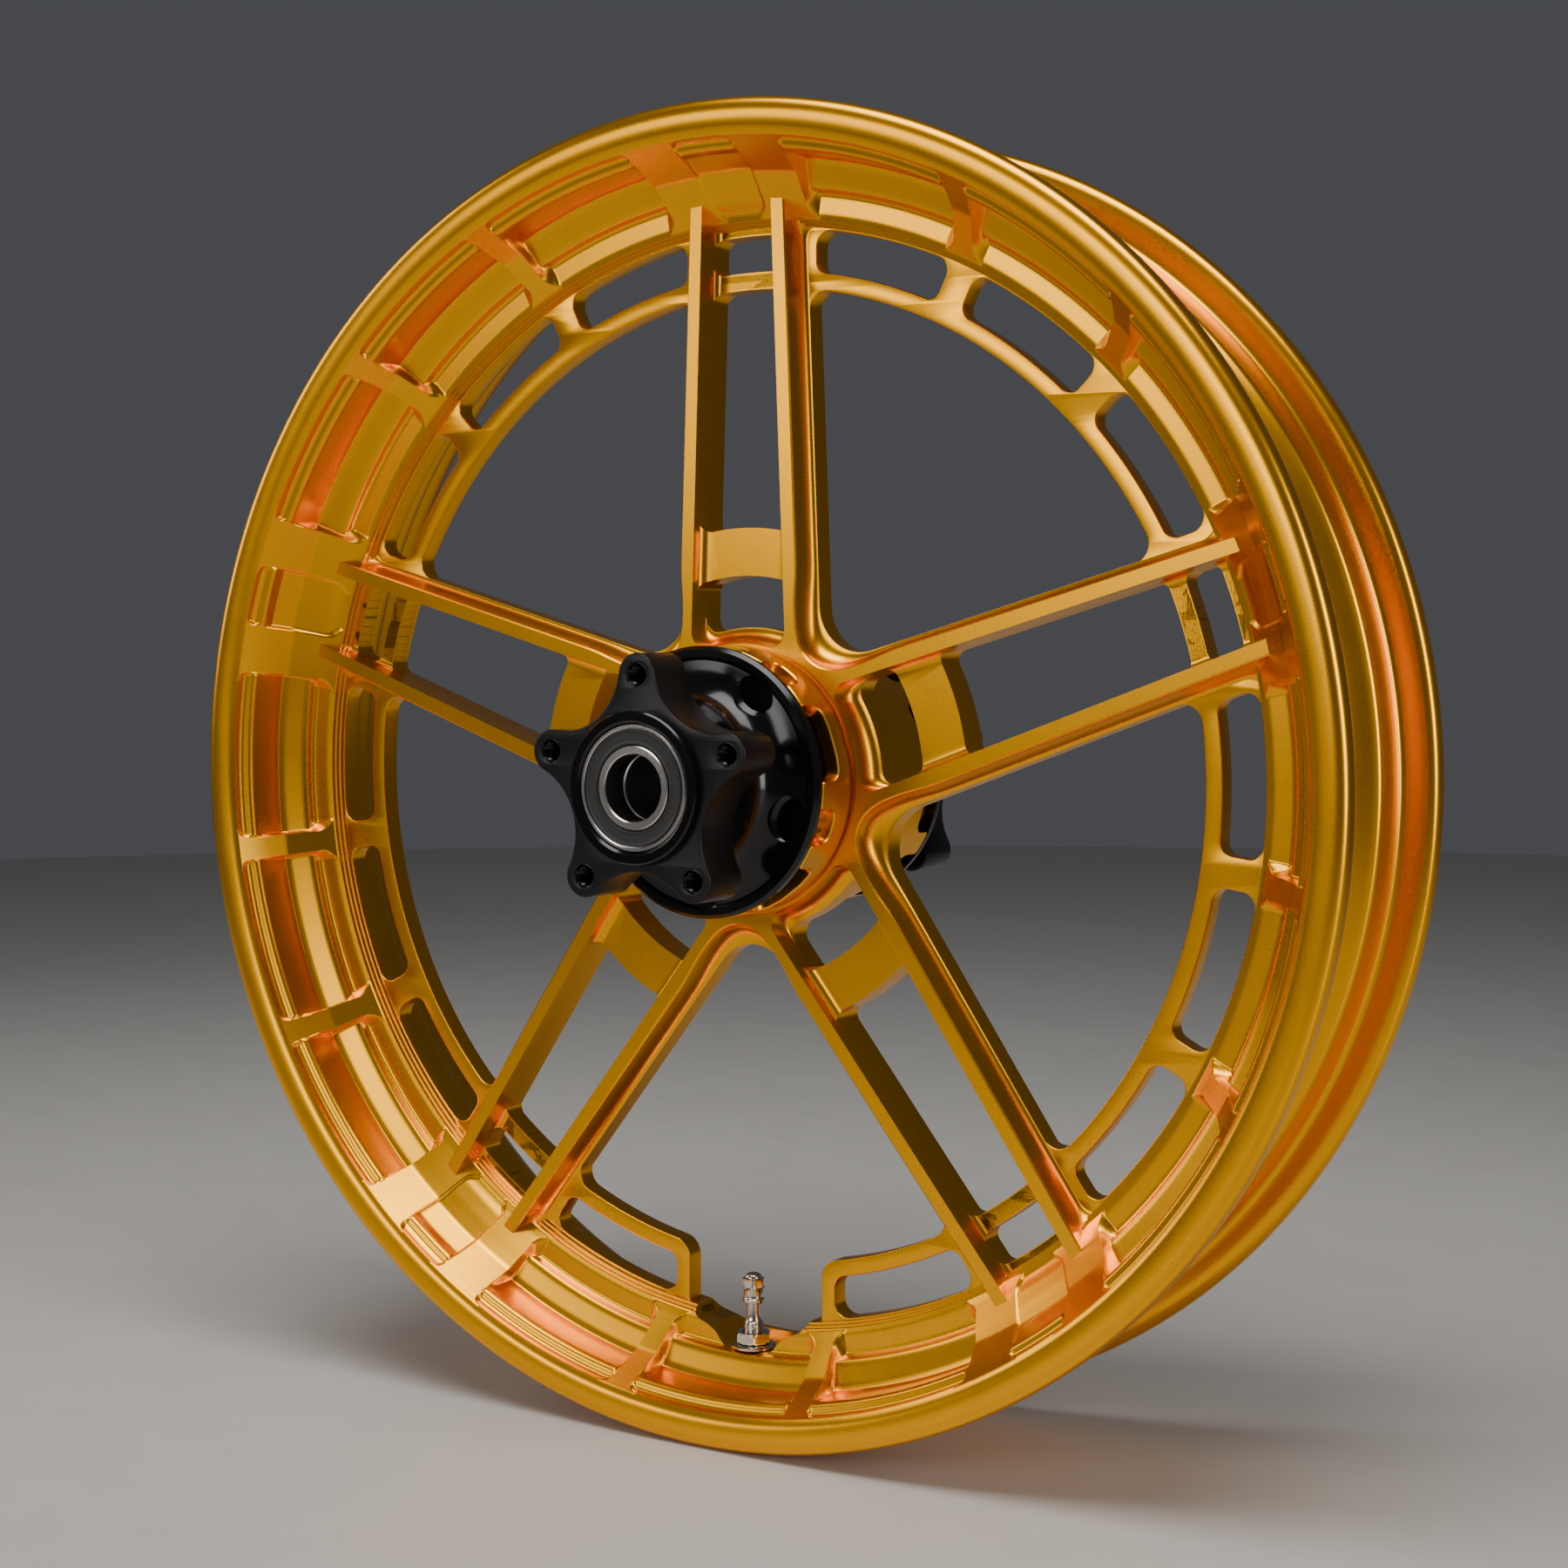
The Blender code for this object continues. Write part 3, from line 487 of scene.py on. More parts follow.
def sector_edge(middle):
    """Edge of the spokes on one gap between pairs, rim to hub to rim, as (face point, ledge point)."""
    made = []
    flank = []
    line = edge_line(middle - 36, 1, ledge_out)
    point, direction, normal = line
    axis = Vector(polar(1.0, middle))
    reach = (HUB_V + point.dot(normal)) / axis.dot(normal)
    centre = axis * reach
    touch = centre - normal * HUB_V
    u_touch = touch.dot(Vector(polar(1.0, middle - 36)))
    u = 227.0
    while u > u_touch + 0.5:
        flare = 0.0
        if u > FLARE_FROM:
            rise = min(u - FLARE_FROM, FLARE - 0.3)
            flare = FLARE - math.sqrt(FLARE**2 - rise**2)
        near_hub = smooth(1 - (u - u_touch) / 16) * 0.25 * V_EXTRA
        face = face_out(u) - near_hub
        flank.append((u, face, ledge_out(u) + flare))
        u -= 1.0 if u > FLARE_FROM - 2 else 5.0
    half_turn = normal.angle(axis)
    steps = 28
    arc = []
    for i in range(steps + 1):
        t = i / steps
        spin = -half_turn + 2 * half_turn * t
        out = -axis
        c, s = math.cos(spin), math.sin(spin)
        out = Vector((out.x * c - out.y * s, out.x * s + out.y * c))
        width = 3.6 + V_EXTRA * (0.25 + 0.75 * math.sin(math.pi * t) ** 2)
        arc.append((centre + out * (HUB_V + width), centre + out * HUB_V))
    for u, face, ledge in flank:
        made.append((Vector(turned((u, face), middle - 36)), Vector(turned((u, ledge), middle - 36))))
    made += arc if (arc[0][1] - touch).length < (arc[-1][1] - touch).length else arc[::-1]
    for u, face, ledge in reversed(flank):
        made.append((Vector(turned((u, -face), middle + 36)), Vector(turned((u, -ledge), middle + 36))))
    return made


def window(pair, inner_r, outer_r, fillet_in, fillet_out, shift=0.0):
    """A window between a pair's two bars."""
    line_a = flipped(edge_line(pair, -1, lambda u: face_in(u) + shift))
    line_b = flipped(edge_line(pair, 1, lambda u: face_in(u) + shift))
    return ring_hole(line_a, line_b, inner_r, outer_r, fillet_in, fillet_out)


def trough(name, pair, inner_u, outer_u, floor_y, fillet):
    """Cutter between the two bars of a pair, down to floor_y, with filleted sides."""
    sections = []
    for u in (inner_u, outer_u):
        half = face_in(u) + 0.002
        side = [(half, FACE_Y - 1.0), (half, floor_y - fillet)]
        for i in range(1, 9):
            c, s = polar(fillet, 90 * i / 8)
            side.append((half - fillet + c, floor_y - fillet + s))
        loop = side + [(-v, y) for v, y in reversed(side)]
        section = []
        for v, y in loop:
            x, z = turned((u, v), pair)
            section.append((x, y, z))
        sections.append(section)
    return loft(name, sections, None)


def spokes(mat):
    """Ten bars and the centre plate in one piece, with coved outer sides."""
    edges = [pair for i in range(5) for pair in sector_edge(126.0 + 72 * i)]
    levels = [(BACK_Y, 0.0, -0.5), (BACK_Y - 0.5, 0.0, 0.0), (LEDGE_Y + 0.3, 0.0, 0.0)]
    steps = 12
    for i in range(steps + 1):
        c, s = polar(1.0, 90 * i / steps)
        levels.append((LEDGE_Y - (-FACE_Y + LEDGE_Y - 0.6) * (1 - c), s, 0.0))
    levels.append((FACE_Y, 1.0, -0.6))
    outlines = []
    for y, blend, offset in levels:
        outline = [tuple(ledge.lerp(face, blend)) for face, ledge in edges]
        outlines.append((y, grown(outline, offset) if offset else outline))
    body = stack("spokes", outlines, mat)
    cutters = []
    for pair in PAIRS:
        main = window(pair, BRIDGE_OUT_R, RING_IN_R, 4.0, 4.5)
        thin = window(pair, RING_OUT_R, PAIR_WINDOW_R, 4.0, 4.0)
        for label, hole in (("main", main), ("thin", thin)):
            cutters.append(stack(f"{label}_{pair}", [(0.0, hole), (FACE_Y - 1.0, hole)], None))
        cutters.append(trough(f"recess_{pair}", pair, 70.0, 104.0, BRIDGE_Y, 4.0))
        cutters.append(trough(f"trough_{pair}", pair, 120.0, 232.0, LEDGE_Y, 3.0))
        sill = []
        for i in range(9):
            c, s = polar(1.0, 90 * i / 8)
            y = -13.0 - (-FACE_Y - 13.0) * (1 - c)
            sill.append((y, window(pair, SILL_R - (SILL_R - SILL_FACE_R) * s, BRIDGE_IN_R, 6.0, 4.0)))
        sill.insert(0, (0.0, sill[0][1]))
        sill.append((FACE_Y - 1.0, sill[-1][1]))
        cutters.append(stack(f"sill_{pair}", sill, None))
    groove = [(51.0, FACE_Y - 1.0), (51.0, FACE_Y + 1.6), (52.9, FACE_Y + 1.6)]
    groove += [(53.2, FACE_Y + 0.6), (53.4, FACE_Y - 1.0)]
    cutters.append(revolve("groove", groove, None, 120))
    cutters.append(stack("bore", [(y, [polar(31.0, 3 * i) for i in range(120)]) for y in (-30.0, 4.0)], None))
    cut(body, cutters)
    return body


def lattice(mat):
    """The ring, the ribs and their slots, in one plate behind the bars."""
    outer = [polar(216.4, 1.2 * i) for i in range(300)]
    holes = []
    shift = 0.12
    for i in range(5):
        middle = 126.0 + 72 * i
        at_valve = abs(middle - VALVE_SECTOR) < 1
        holes.append(sector_window(middle, at_valve, shift))
        for side in (1, -1):
            bar = parallel_line(middle - side * 36, side * SLOT_FROM_AXIS, side)
            if at_valve:
                other = parallel_line(middle, -side * (VALVE_GAP_HALF + 6.0), -side)
            else:
                other = parallel_line(middle - side * RIB_ANGLE, -side * RIB_HALF, -side)
            pair_of_lines = (bar, other) if side > 0 else (other, bar)
            holes.append(ring_hole(*pair_of_lines, RING_OUT_R, SLOT_OUT_R, 5.0, 5.5))
        if not at_valve:
            low = parallel_line(middle - RIB_ANGLE, RIB_HALF, 1)
            high = parallel_line(middle + RIB_ANGLE, -RIB_HALF, -1)
            holes.append(ring_hole(low, high, RING_OUT_R, SLOT_OUT_R, 5.0, 5.5))
    for pair in PAIRS:
        holes.append(window(pair, RING_OUT_R, PAIR_WINDOW_R, 4.0, 4.0, shift))
        holes.append(window(pair, BRIDGE_OUT_R - 1.0, RING_IN_R, 4.0, 4.5, shift))
        holes.append(window(pair, SILL_R - 1.0, BRIDGE_IN_R + 1.0, 6.0, 4.0, shift))
    holes.append([polar(50.0, 3 * i) for i in range(120)])
    return plate("lattice", outer, holes, LEDGE_Y, BACK_Y - 1.0, 0.45, mat)


def sector_window(middle, at_valve, shift):
    """The open gap between two pairs, with rounded corners at the ring."""
    line_a = edge_line(middle - 36, 1, lambda u: ledge_out(u) - shift)
    line_b = edge_line(middle + 36, -1, lambda u: ledge_out(u) - shift)
    ca, la, oa = line_circle(line_a, RING_IN_R, RING_CORNER, -1)
    cb, lb, ob = line_circle(line_b, RING_IN_R, RING_CORNER, -1)
    points = list(arc_between(ca, la, oa))
    if at_valve:
        away = Vector((-1.0, 0.0))
        step = (Vector((-VALVE_GAP_HALF, 0.0)), Vector((0.0, -1.0)), away)
        centre, on_line, on_ring = line_circle(step, RING_IN_R, 8.0, 1)
        end = Vector((-VALVE_GAP_HALF, -212.7))
        half = circle_arc(RING_IN_R, oa, on_ring) + arc_between(centre, on_ring, on_line) + [end]
        points += half + [Vector((-p.x, p.y)) for p in reversed(half)]
    else:
        points += circle_arc(RING_IN_R, oa, ob)
    points += arc_between(cb, ob, lb)
    centre = Vector(polar(1.0, middle))
    reach = (HUB_V + line_a[0].dot(line_a[2])) / centre.dot(line_a[2])
    centre = centre * reach
    points += arc_between(centre, centre - line_b[2] * HUB_V, centre - line_a[2] * HUB_V, 24)
    return [(p.x, p.y) for p in points]


# ---------------------------------------------------------------- centre


def notch(half, depth, lip=1.5, corner=5.0):
    """Edge of a notch as (distance along the rim, depth), with a rounded mouth and rounded corners."""
    left = []
    for i in range(7):
        c, s = polar(lip, 15 * i)
        left.append((s - half - lip, lip - c))
    for i in range(9):
        c, s = polar(corner, 90 * i / 8)
        left.append((corner - half - c, depth - corner + s))
    left.append((0.5 * (corner - half), depth))
    return left + [(-x, y) for x, y in reversed(left)]


def drum(mat):
    """The drum, with long notches at the pairs and small ones at the posts, in both ends."""
    samples = {}
    for i in range(5):
        for middle, edge in ((90.0 + 72 * i, notch(15.0, 11.5)), (54.0 + 72 * i, notch(7.2, 10.5))):
            for index, (x, y) in enumerate(edge):
                samples[(middle + math.degrees(x / DRUM_R) + index * 1e-5) % 360] = y
            for gap in (13.5, 58.5):
                samples[(54.0 + 72 * i + gap) % 360] = 0.0
    sections = []
    for angle in sorted(samples):
        end = DRUM_HALF - samples[angle]
        c, s = polar(1.0, angle)
        half = [(DRUM_IN_R, end - 0.4), (DRUM_IN_R + 0.4, end), (DRUM_R - 0.5, end), (DRUM_R, end - 0.5)]
        loop = half + [(DRUM_R, 22.0), (DRUM_R, 8.0), (DRUM_R, -8.0), (DRUM_R, -22.0)]
        loop += [(r, -y) for r, y in reversed(half)]
        sections.append([(r * c, y, r * s) for r, y in loop])
    return loft("drum", sections, mat, closed=True)


def posts(mat):
    """Five round posts along the drum's inner wall."""
    verts, faces = [], []
    steps = 36
    end = 43.9
    profile = [(0.0, -end), (POST_R - 0.6, -end), (POST_R, 0.6 - end)]
    profile += [(POST_R, end - 0.6), (POST_R - 0.6, end), (0.0, end)]
    for i in range(5):
        cx, cz = polar(POST_CIRCLE_R, 54.0 + 72 * i)
        start = len(verts)
        for j in range(steps):
            c, s = polar(1.0, 360 * j / steps)
            verts += [(cx + r * c, y, cz + r * s) for r, y in profile]
        size = len(profile)
        for j in range(steps):
            a, b = start + j * size, start + (j + 1) % steps * size
            faces += [(a + k, a + k + 1, b + k + 1, b + k) for k in range(size - 1)]
    return mesh_object("posts", verts, faces, mat)


# ---------------------------------------------------------------- hubs

DISC_FACE_Y = 90.5
STAR_BACK_Y = 69.5
BOSS_R = 28.2
BOLT_CIRCLE_R = 41.28
LOBE_R = 8.0
VALLEY_R = 31.0
DISC_HOLE_R = 3.4
NECK_R = 29.0
FLANGE_OUT_Y = 48.8
FLANGE_IN_Y = 44.8
HUB_PINS = [54.0 + 72 * i for i in range(5)]
PIN_R = 3.0
PIN_IN_Y = 30.1
PIN_OUT_Y = 46.1


def star_outline():
    """Five lobes round the bolt holes, joined by concave arcs tangent to them."""
    half_pitch = math.radians(36.0)
    middle = BOLT_CIRCLE_R * math.cos(half_pitch)
    across = BOLT_CIRCLE_R * math.sin(half_pitch)
    offset = VALLEY_R - middle
    valley = (across**2 + offset**2 - LOBE_R**2) / (2 * (LOBE_R - offset))
    centre = VALLEY_R + valley
    tangent = math.degrees(math.atan2(across, centre - middle))
    points = []
    for pair in PAIRS:
        hole = polar(BOLT_CIRCLE_R, pair)
        for i in range(25):
            c, s = polar(LOBE_R, pair + (36 + tangent) * (i / 12 - 1))
            points.append((hole[0] + c, hole[1] + s))
        hollow = polar(centre, pair + 36)
        for i in range(1, 20):
            c, s = polar(valley, pair + 216 + tangent * (1 - i / 10))
            points.append((hollow[0] + c, hollow[1] + s))
    return points


def circle(radius, at=(0.0, 0.0), steps=48):
    return [(at[0] + x, at[1] + y) for x, y in (polar(radius, 360 * i / steps) for i in range(steps))]


def mirrored(points, side):
    return [(r, side * y) for r, y in points]


def hub(label, side, mat, gloss):
    """A turned hub carrier whose dished flange has five oval pockets, and its star."""
    neck = [(NECK_R - 1.2, STAR_BACK_Y + 2.0), (NECK_R, STAR_BACK_Y - 1.2), (NECK_R + 0.3, 62.0)]
    neck += [(NECK_R + 1.6, 57.0), (NECK_R + 4.2, 52.8), (NECK_R + 8.5, 49.9), (NECK_R + 13.0, 48.3)]
    neck += [(NECK_R + 17.4, 47.9)]
    neck = softened(along(neck, 1.0), 12)
    body = [(18.5, 41.2), (18.9, 40.8), (29.6, 40.8), (30.2, 41.4), (30.2, FLANGE_IN_Y)]
    body += [(DRUM_R - 0.5, FLANGE_IN_Y), (DRUM_R - 0.1, FLANGE_IN_Y + 0.4), (DRUM_R - 0.1, 47.4)]
    body += [(DRUM_R - 1.5, FLANGE_OUT_Y), (DRUM_R - 4.2, FLANGE_OUT_Y)]
    body += neck[::-1]
    body += [(BOSS_R - 1.6, 72.0), (BOSS_R - 1.6, DISC_FACE_Y - 1.0), (BOSS_R, DISC_FACE_Y - 0.8)]
    body += [(BOSS_R, 93.1), (BOSS_R - 0.6, 93.7), (24.7, 93.7), (23.8, 92.9), (23.8, 80.7), (18.5, 80.7)]
    carrier = revolve(f"hub_{label}_body", mirrored(body, side), gloss, 160)
    cutters = []
    for angle in HUB_PINS:
        oval = []
        for i in range(40):
            c, s = polar(1.0, 9 * i)
            oval.append(turned((POST_CIRCLE_R + 0.4 + 6.0 * c, 8.2 * s), angle))
        wide = grown(oval, 1.6)
        levels = [(side * 47.2, oval), (side * 48.0, oval), (side * 49.6, wide), (side * 60.0, wide)]
        cutters.append(stack(f"pocket_{angle}", levels, None))
    cut(carrier, cutters)
    holes = [circle(DISC_HOLE_R + 0.9, polar(BOLT_CIRCLE_R, pair), 32) for pair in PAIRS]
    holes.append(circle(BOSS_R - 1.0, steps=120))
    low, high = sorted((side * STAR_BACK_Y, side * DISC_FACE_Y))
    star = plate(f"hub_{label}_star", star_outline(), holes, low, high, 0.7, mat)
    return carrier, star


def thread_sleeve(name, side, mat):
    """Threads in the five disc holes."""
    verts, faces = [], []
    turns, steps, pitch = 17, 24, 1.25
    rows = turns * 4
    top = DISC_FACE_Y - 0.5
    for pair in PAIRS:
        cx, cz = polar(BOLT_CIRCLE_R, pair)
        start = len(verts)
        for i in range(steps):
            c, s = polar(1.0, 360 * i / steps)
            section = [(4.6, top - 0.3)]
            for j in range(rows + 1):
                depth = j * pitch / 4
                phase = (depth / pitch + i / steps) % 1.0
                wave = abs(phase - 0.5) * 2
                fade = min(1.0, j / 4, (rows - j) / 4)
                section.append((4.15 - 0.75 * wave * fade, top - depth - 0.2 * (j == 0)))
            section.append((4.6, top - rows * pitch / 4))
            verts += [(cx + r * c, side * y, cz + r * s) for r, y in section]
        size = rows + 3
        for i in range(steps):
            a, b = start + i * size, start + (i + 1) % steps * size
            faces += [(a + k, a + (k + 1) % size, b + (k + 1) % size, b + k) for k in range(size)]
    return mesh_object(name, verts, faces, mat)


def hub_pin(name, side, angle, mat):
    """A ground pin with bevelled ends, hidden between the flange and the drum's post."""
    cx, cz = polar(POST_CIRCLE_R, angle)
    sections = []
    for i in range(32):
        c, s = polar(1.0, 360 * i / 32)
        profile = [(0.02, PIN_OUT_Y), (PIN_R - 0.5, PIN_OUT_Y), (PIN_R, PIN_OUT_Y - 0.5)]
        profile += [(PIN_R, PIN_IN_Y + 0.5), (PIN_R - 0.5, PIN_IN_Y), (0.02, PIN_IN_Y)]
        sections.append([(cx + r * c, side * y, cz + r * s) for r, y in profile])
    return loft(name, sections, mat, closed=True)


# ---------------------------------------------------------------- bearings

BEARING_MID_Y = 87.0
PITCH_R = 18.0
GROOVE_R = 3.45
BALL_R = 3.1
BALLS = 10


def bearing_profiles():
    """Sections of the inner race, the outer race and a seal, as (radius, distance from the middle)."""
    inner_groove = [(PITCH_R + polar(GROOVE_R, a)[0], polar(GROOVE_R, a)[1]) for a in range(232, 127, -8)]
    inner = [(12.9, 6.0), (12.5, 5.6), (12.5, -5.6), (12.9, -6.0), (15.1, -6.0), (15.5, -5.6)]
    inner += [(min(r, 15.5), y) for r, y in inner_groove] + [(15.5, 5.6), (15.1, 6.0)]
    outer_groove = [(PITCH_R + polar(GROOVE_R, a)[0], polar(GROOVE_R, a)[1]) for a in range(-52, 53, 8)]
    outer = [(23.1, 6.0), (23.5, 5.6), (23.5, -5.6), (23.1, -6.0), (22.2, -6.0), (21.9, -5.7)]
    outer += [(21.9, -4.4), (20.5, -4.4)]
    outer += [(max(r, 20.5), y) for r, y in outer_groove]
    outer += [(20.5, 4.4), (21.9, 4.4), (21.9, 5.7), (22.2, 6.0)]
    seal = [(15.75, 5.0), (15.75, 4.8), (21.55, 4.8), (21.55, 5.55), (21.1, 5.85), (20.5, 5.75), (20.2, 5.55)]
    seal += [(17.3, 5.5), (17.0, 5.7), (16.4, 5.75), (15.9, 5.4)]
    return inner, outer, seal


def ball_set(name, middle, mat):
    """The bearing's balls, evenly round its pitch circle."""
    verts, faces = [], []
    rows, steps = 14, 24
    for number in range(BALLS):
        cx, cz = polar(PITCH_R, 360 / BALLS * number)
        start = len(verts)
        verts.append((cx, middle - BALL_R, cz))
        for i in range(1, rows):
            level, ring = polar(BALL_R, 180 * i / rows)
            circle_points = [polar(ring, 360 * j / steps) for j in range(steps)]
            verts += [(cx + x, middle - level, cz + z) for x, z in circle_points]
        verts.append((cx, middle + BALL_R, cz))
        for j in range(steps):
            k = (j + 1) % steps
            faces.append((start, start + 1 + j, start + 1 + k))
            last = start + 1 + (rows - 2) * steps
            faces.append((last + j, start + 1 + (rows - 1) * steps, last + k))
            for i in range(rows - 2):
                a = start + 1 + i * steps
                faces.append((a + j, a + steps + j, a + steps + k, a + k))
    return mesh_object(name, verts, faces, mat)


def bearing(label, side, mats):
    """Both races, both seals and the balls; the cage keeps its own solid."""
    steel, brass, rubber = mats
    middle = side * BEARING_MID_Y
    inner, outer, seal = bearing_profiles()
    race = revolve(f"{label}_inner_race", [(r, middle + y) for r, y in inner], steel, 120)
    give(race, "axle_group", "bearing_steel", f"bearing_{label}_inner_race")
    race = revolve(f"{label}_outer_race", [(r, middle + y) for r, y in outer], steel, 120)
    give(race, "wheel", "bearing_steel", f"bearing_{label}_outer_race")
    for place, sign in (("outer", side), ("inner", -side)):
        ring = revolve(f"{label}_seal_{place}", [(r, middle + sign * y) for r, y in seal], rubber, 120)
        give(ring, "wheel", "seal_rubber", f"bearing_{label}_seal_{place}")
    balls = ball_set(f"{label}_balls", middle, steel)
    give(balls, f"cage_{label}", "bearing_steel", *[f"bearing_{label}_ball_{i:02d}" for i in range(1, 11)])
    cage = bpy.data.objects[f"bearing_{label}_cage"].data
    cage.materials.clear()
    cage.materials.append(brass)


# ---------------------------------------------------------------- valve

VALVE_Y = -13.0
VALVE_SEAT_R = 225.0
THREAD_MARK = 3.99
THREAD_PITCH = 0.75


def valve_turned(name, profile, mat, radius=None, steps=64):
    """Turns (radius, height over the seat) about the valve's line; radius may scale a point by direction."""
    sections = []
    for i in range(steps):
        turn = 360 * i / steps
        c, s = polar(1.0, turn)
        loop = []
        for index, (r, h) in enumerate(profile):
            wide = radius(index, r, h, turn) if radius else r
            loop.append((wide * c, VALVE_Y + wide * s, h - VALVE_SEAT_R))
        sections.append(loop)
    return loft(name, sections, mat, closed=True, sharp=28)


def hexagonal(turn, flat):
    return flat / math.cos(math.radians((turn % 60) - 30))


def threads(low, high, outer, step=0.12):
    """Profile points of a thread from low to high, on the radius that marks them as thread."""
    count = round((high - low) / step)
    return [(outer, low + (high - low) * i / count) for i in range(count + 1)]


def valve(nickel, rubber):
    """The clamp-in valve: threaded stem, pin, seal, washer, hexagon nut and dust cap."""

    def stem_radius(index, r, h, turn):
        if r == THREAD_MARK:
            wave = abs(((h / THREAD_PITCH + turn / 360) % 1.0) - 0.5) * 2
            return 3.55 + 0.45 * wave
        return r

    stem = [(1.6, -8.0), (5.6, -8.0), (6.0, -7.6), (6.0, -6.7), (5.7, -6.6), (3.6, -6.6)]
    stem += threads(-6.4, 10.4, THREAD_MARK)
    stem += [(3.5, 10.6), (3.2, 11.2), (2.65, 13.4), (2.6, 23.7), (2.3, 24.0), (1.6, 24.0)]
    give(valve_turned("valve_stem_turned", stem, nickel, stem_radius), "wheel", "valve_nickel", "valve_stem")
    core = [(0.02, 4.0), (1.2, 4.2), (1.2, 21.0), (0.7, 21.4), (0.7, 22.9), (0.02, 23.0)]
    give(valve_turned("valve_pin", core, nickel), "valve_core", "valve_nickel", "valve_core")
    seal = [(4.3, -6.3), (6.1, -6.3), (6.4, -6.0), (6.4, -5.1), (6.1, -4.8), (4.3, -4.8)]
    give(valve_turned("valve_grommet", seal, rubber), "wheel", "seal_rubber", "valve_seal")
    washer = [(4.3, 0.3), (8.6, 0.3), (9.0, 0.6), (9.0, 1.3), (8.6, 1.6), (7.6, 1.9), (4.3, 1.9)]
    give(valve_turned("valve_disc", washer, nickel), "wheel", "valve_nickel", "valve_washer")

    def nut_radius(index, r, h, turn):
        return min(hexagonal(turn, 6.35), r) if r > 5 else r

    nut = [(4.3, 2.3), (6.6, 2.3), (7.35, 2.8), (7.6, 3.0), (7.6, 5.6), (7.35, 5.9), (6.5, 6.4), (4.4, 6.4)]
    give(valve_turned("valve_hexagon", nut, nickel, nut_radius, 96), "wheel", "valve_nickel", "valve_nut")

    def cap_radius(index, r, h, turn):
        return min(hexagonal(turn, 3.95), r) if 24.2 < h < 27.4 else r

    cap = [(2.95, 18.0), (3.9, 18.0), (4.3, 18.4), (4.3, 19.6), (3.9, 20.0), (3.75, 20.4), (3.75, 23.0)]
    cap += [(3.9, 23.4), (4.5, 23.9), (4.5, 24.4), (4.5, 27.2), (4.3, 27.7), (3.4, 28.0), (3.35, 28.3)]
    dome = [math.radians(angle) for angle in range(10, 91, 10)]
    cap += [(3.2 * math.cos(angle) + 0.02, 28.3 + 1.7 * math.sin(angle)) for angle in dome]
    cap += [(0.02, 25.0), (2.95, 24.8)]
    give(valve_turned("valve_dome", cap, nickel, cap_radius, 96), "valve_cap", "valve_nickel", "valve_cap")


# ---------------------------------------------------------------- materials


def surface(
    name, color, metallic, roughness, spread=0.05, tint=0.12, grain=2600.0, bump=0.25, depth=0.012, coat=0.0
):
    """A procedural finish: fine grain in the bump, slow drifts in colour and roughness."""
    mat = bpy.data.materials.new(name)
    mat.use_nodes = True
    nodes, links = mat.node_tree.nodes, mat.node_tree.links
    shader = nodes["Principled BSDF"]
    shader.inputs["Metallic"].default_value = metallic
    shader.inputs["Coat Weight"].default_value = coat
    shader.inputs["Coat Roughness"].default_value = 0.12
    place = nodes.new("ShaderNodeTexCoord")

    def noise(scale, detail):
        made = nodes.new("ShaderNodeTexNoise")
        made.inputs["Scale"].default_value = scale
        made.inputs["Detail"].default_value = detail
        made.inputs["Roughness"].default_value = 0.6
        links.new(place.outputs["Object"], made.inputs["Vector"])
        return made

    fine, slow = noise(grain, 2.0), noise(34.0, 5.0)
    ramp = nodes.new("ShaderNodeValToRGB")
    ramp.color_ramp.elements[0].position = 0.3
    ramp.color_ramp.elements[1].position = 0.7
    ramp.color_ramp.elements[0].color = (*[c * (1 - tint) for c in color], 1)
    ramp.color_ramp.elements[1].color = (*[min(c * (1 + tint), 1.0) for c in color], 1)
    blend = nodes.new("ShaderNodeMix")
    blend.data_type = "FLOAT"
    blend.inputs[0].default_value = 0.45
    links.new(slow.outputs["Fac"], blend.inputs[2])
    links.new(fine.outputs["Fac"], blend.inputs[3])
    links.new(blend.outputs[0], ramp.inputs["Fac"])
    links.new(ramp.outputs["Color"], shader.inputs["Base Color"])
    rough = nodes.new("ShaderNodeMapRange")
    rough.inputs["From Min"].default_value = 0.3
    rough.inputs["From Max"].default_value = 0.7
    rough.inputs["To Min"].default_value = roughness - spread
    rough.inputs["To Max"].default_value = roughness + spread
    links.new(blend.outputs[0], rough.inputs["Value"])
    links.new(rough.outputs["Result"], shader.inputs["Roughness"])
    relief = nodes.new("ShaderNodeBump")
    relief.inputs["Strength"].default_value = bump
    relief.inputs["Distance"].default_value = depth * MM
    links.new(fine.outputs["Fac"], relief.inputs["Height"])
    links.new(relief.outputs["Normal"], shader.inputs["Normal"])
    return mat


GOLD = (0.95, 0.43, 0.002)


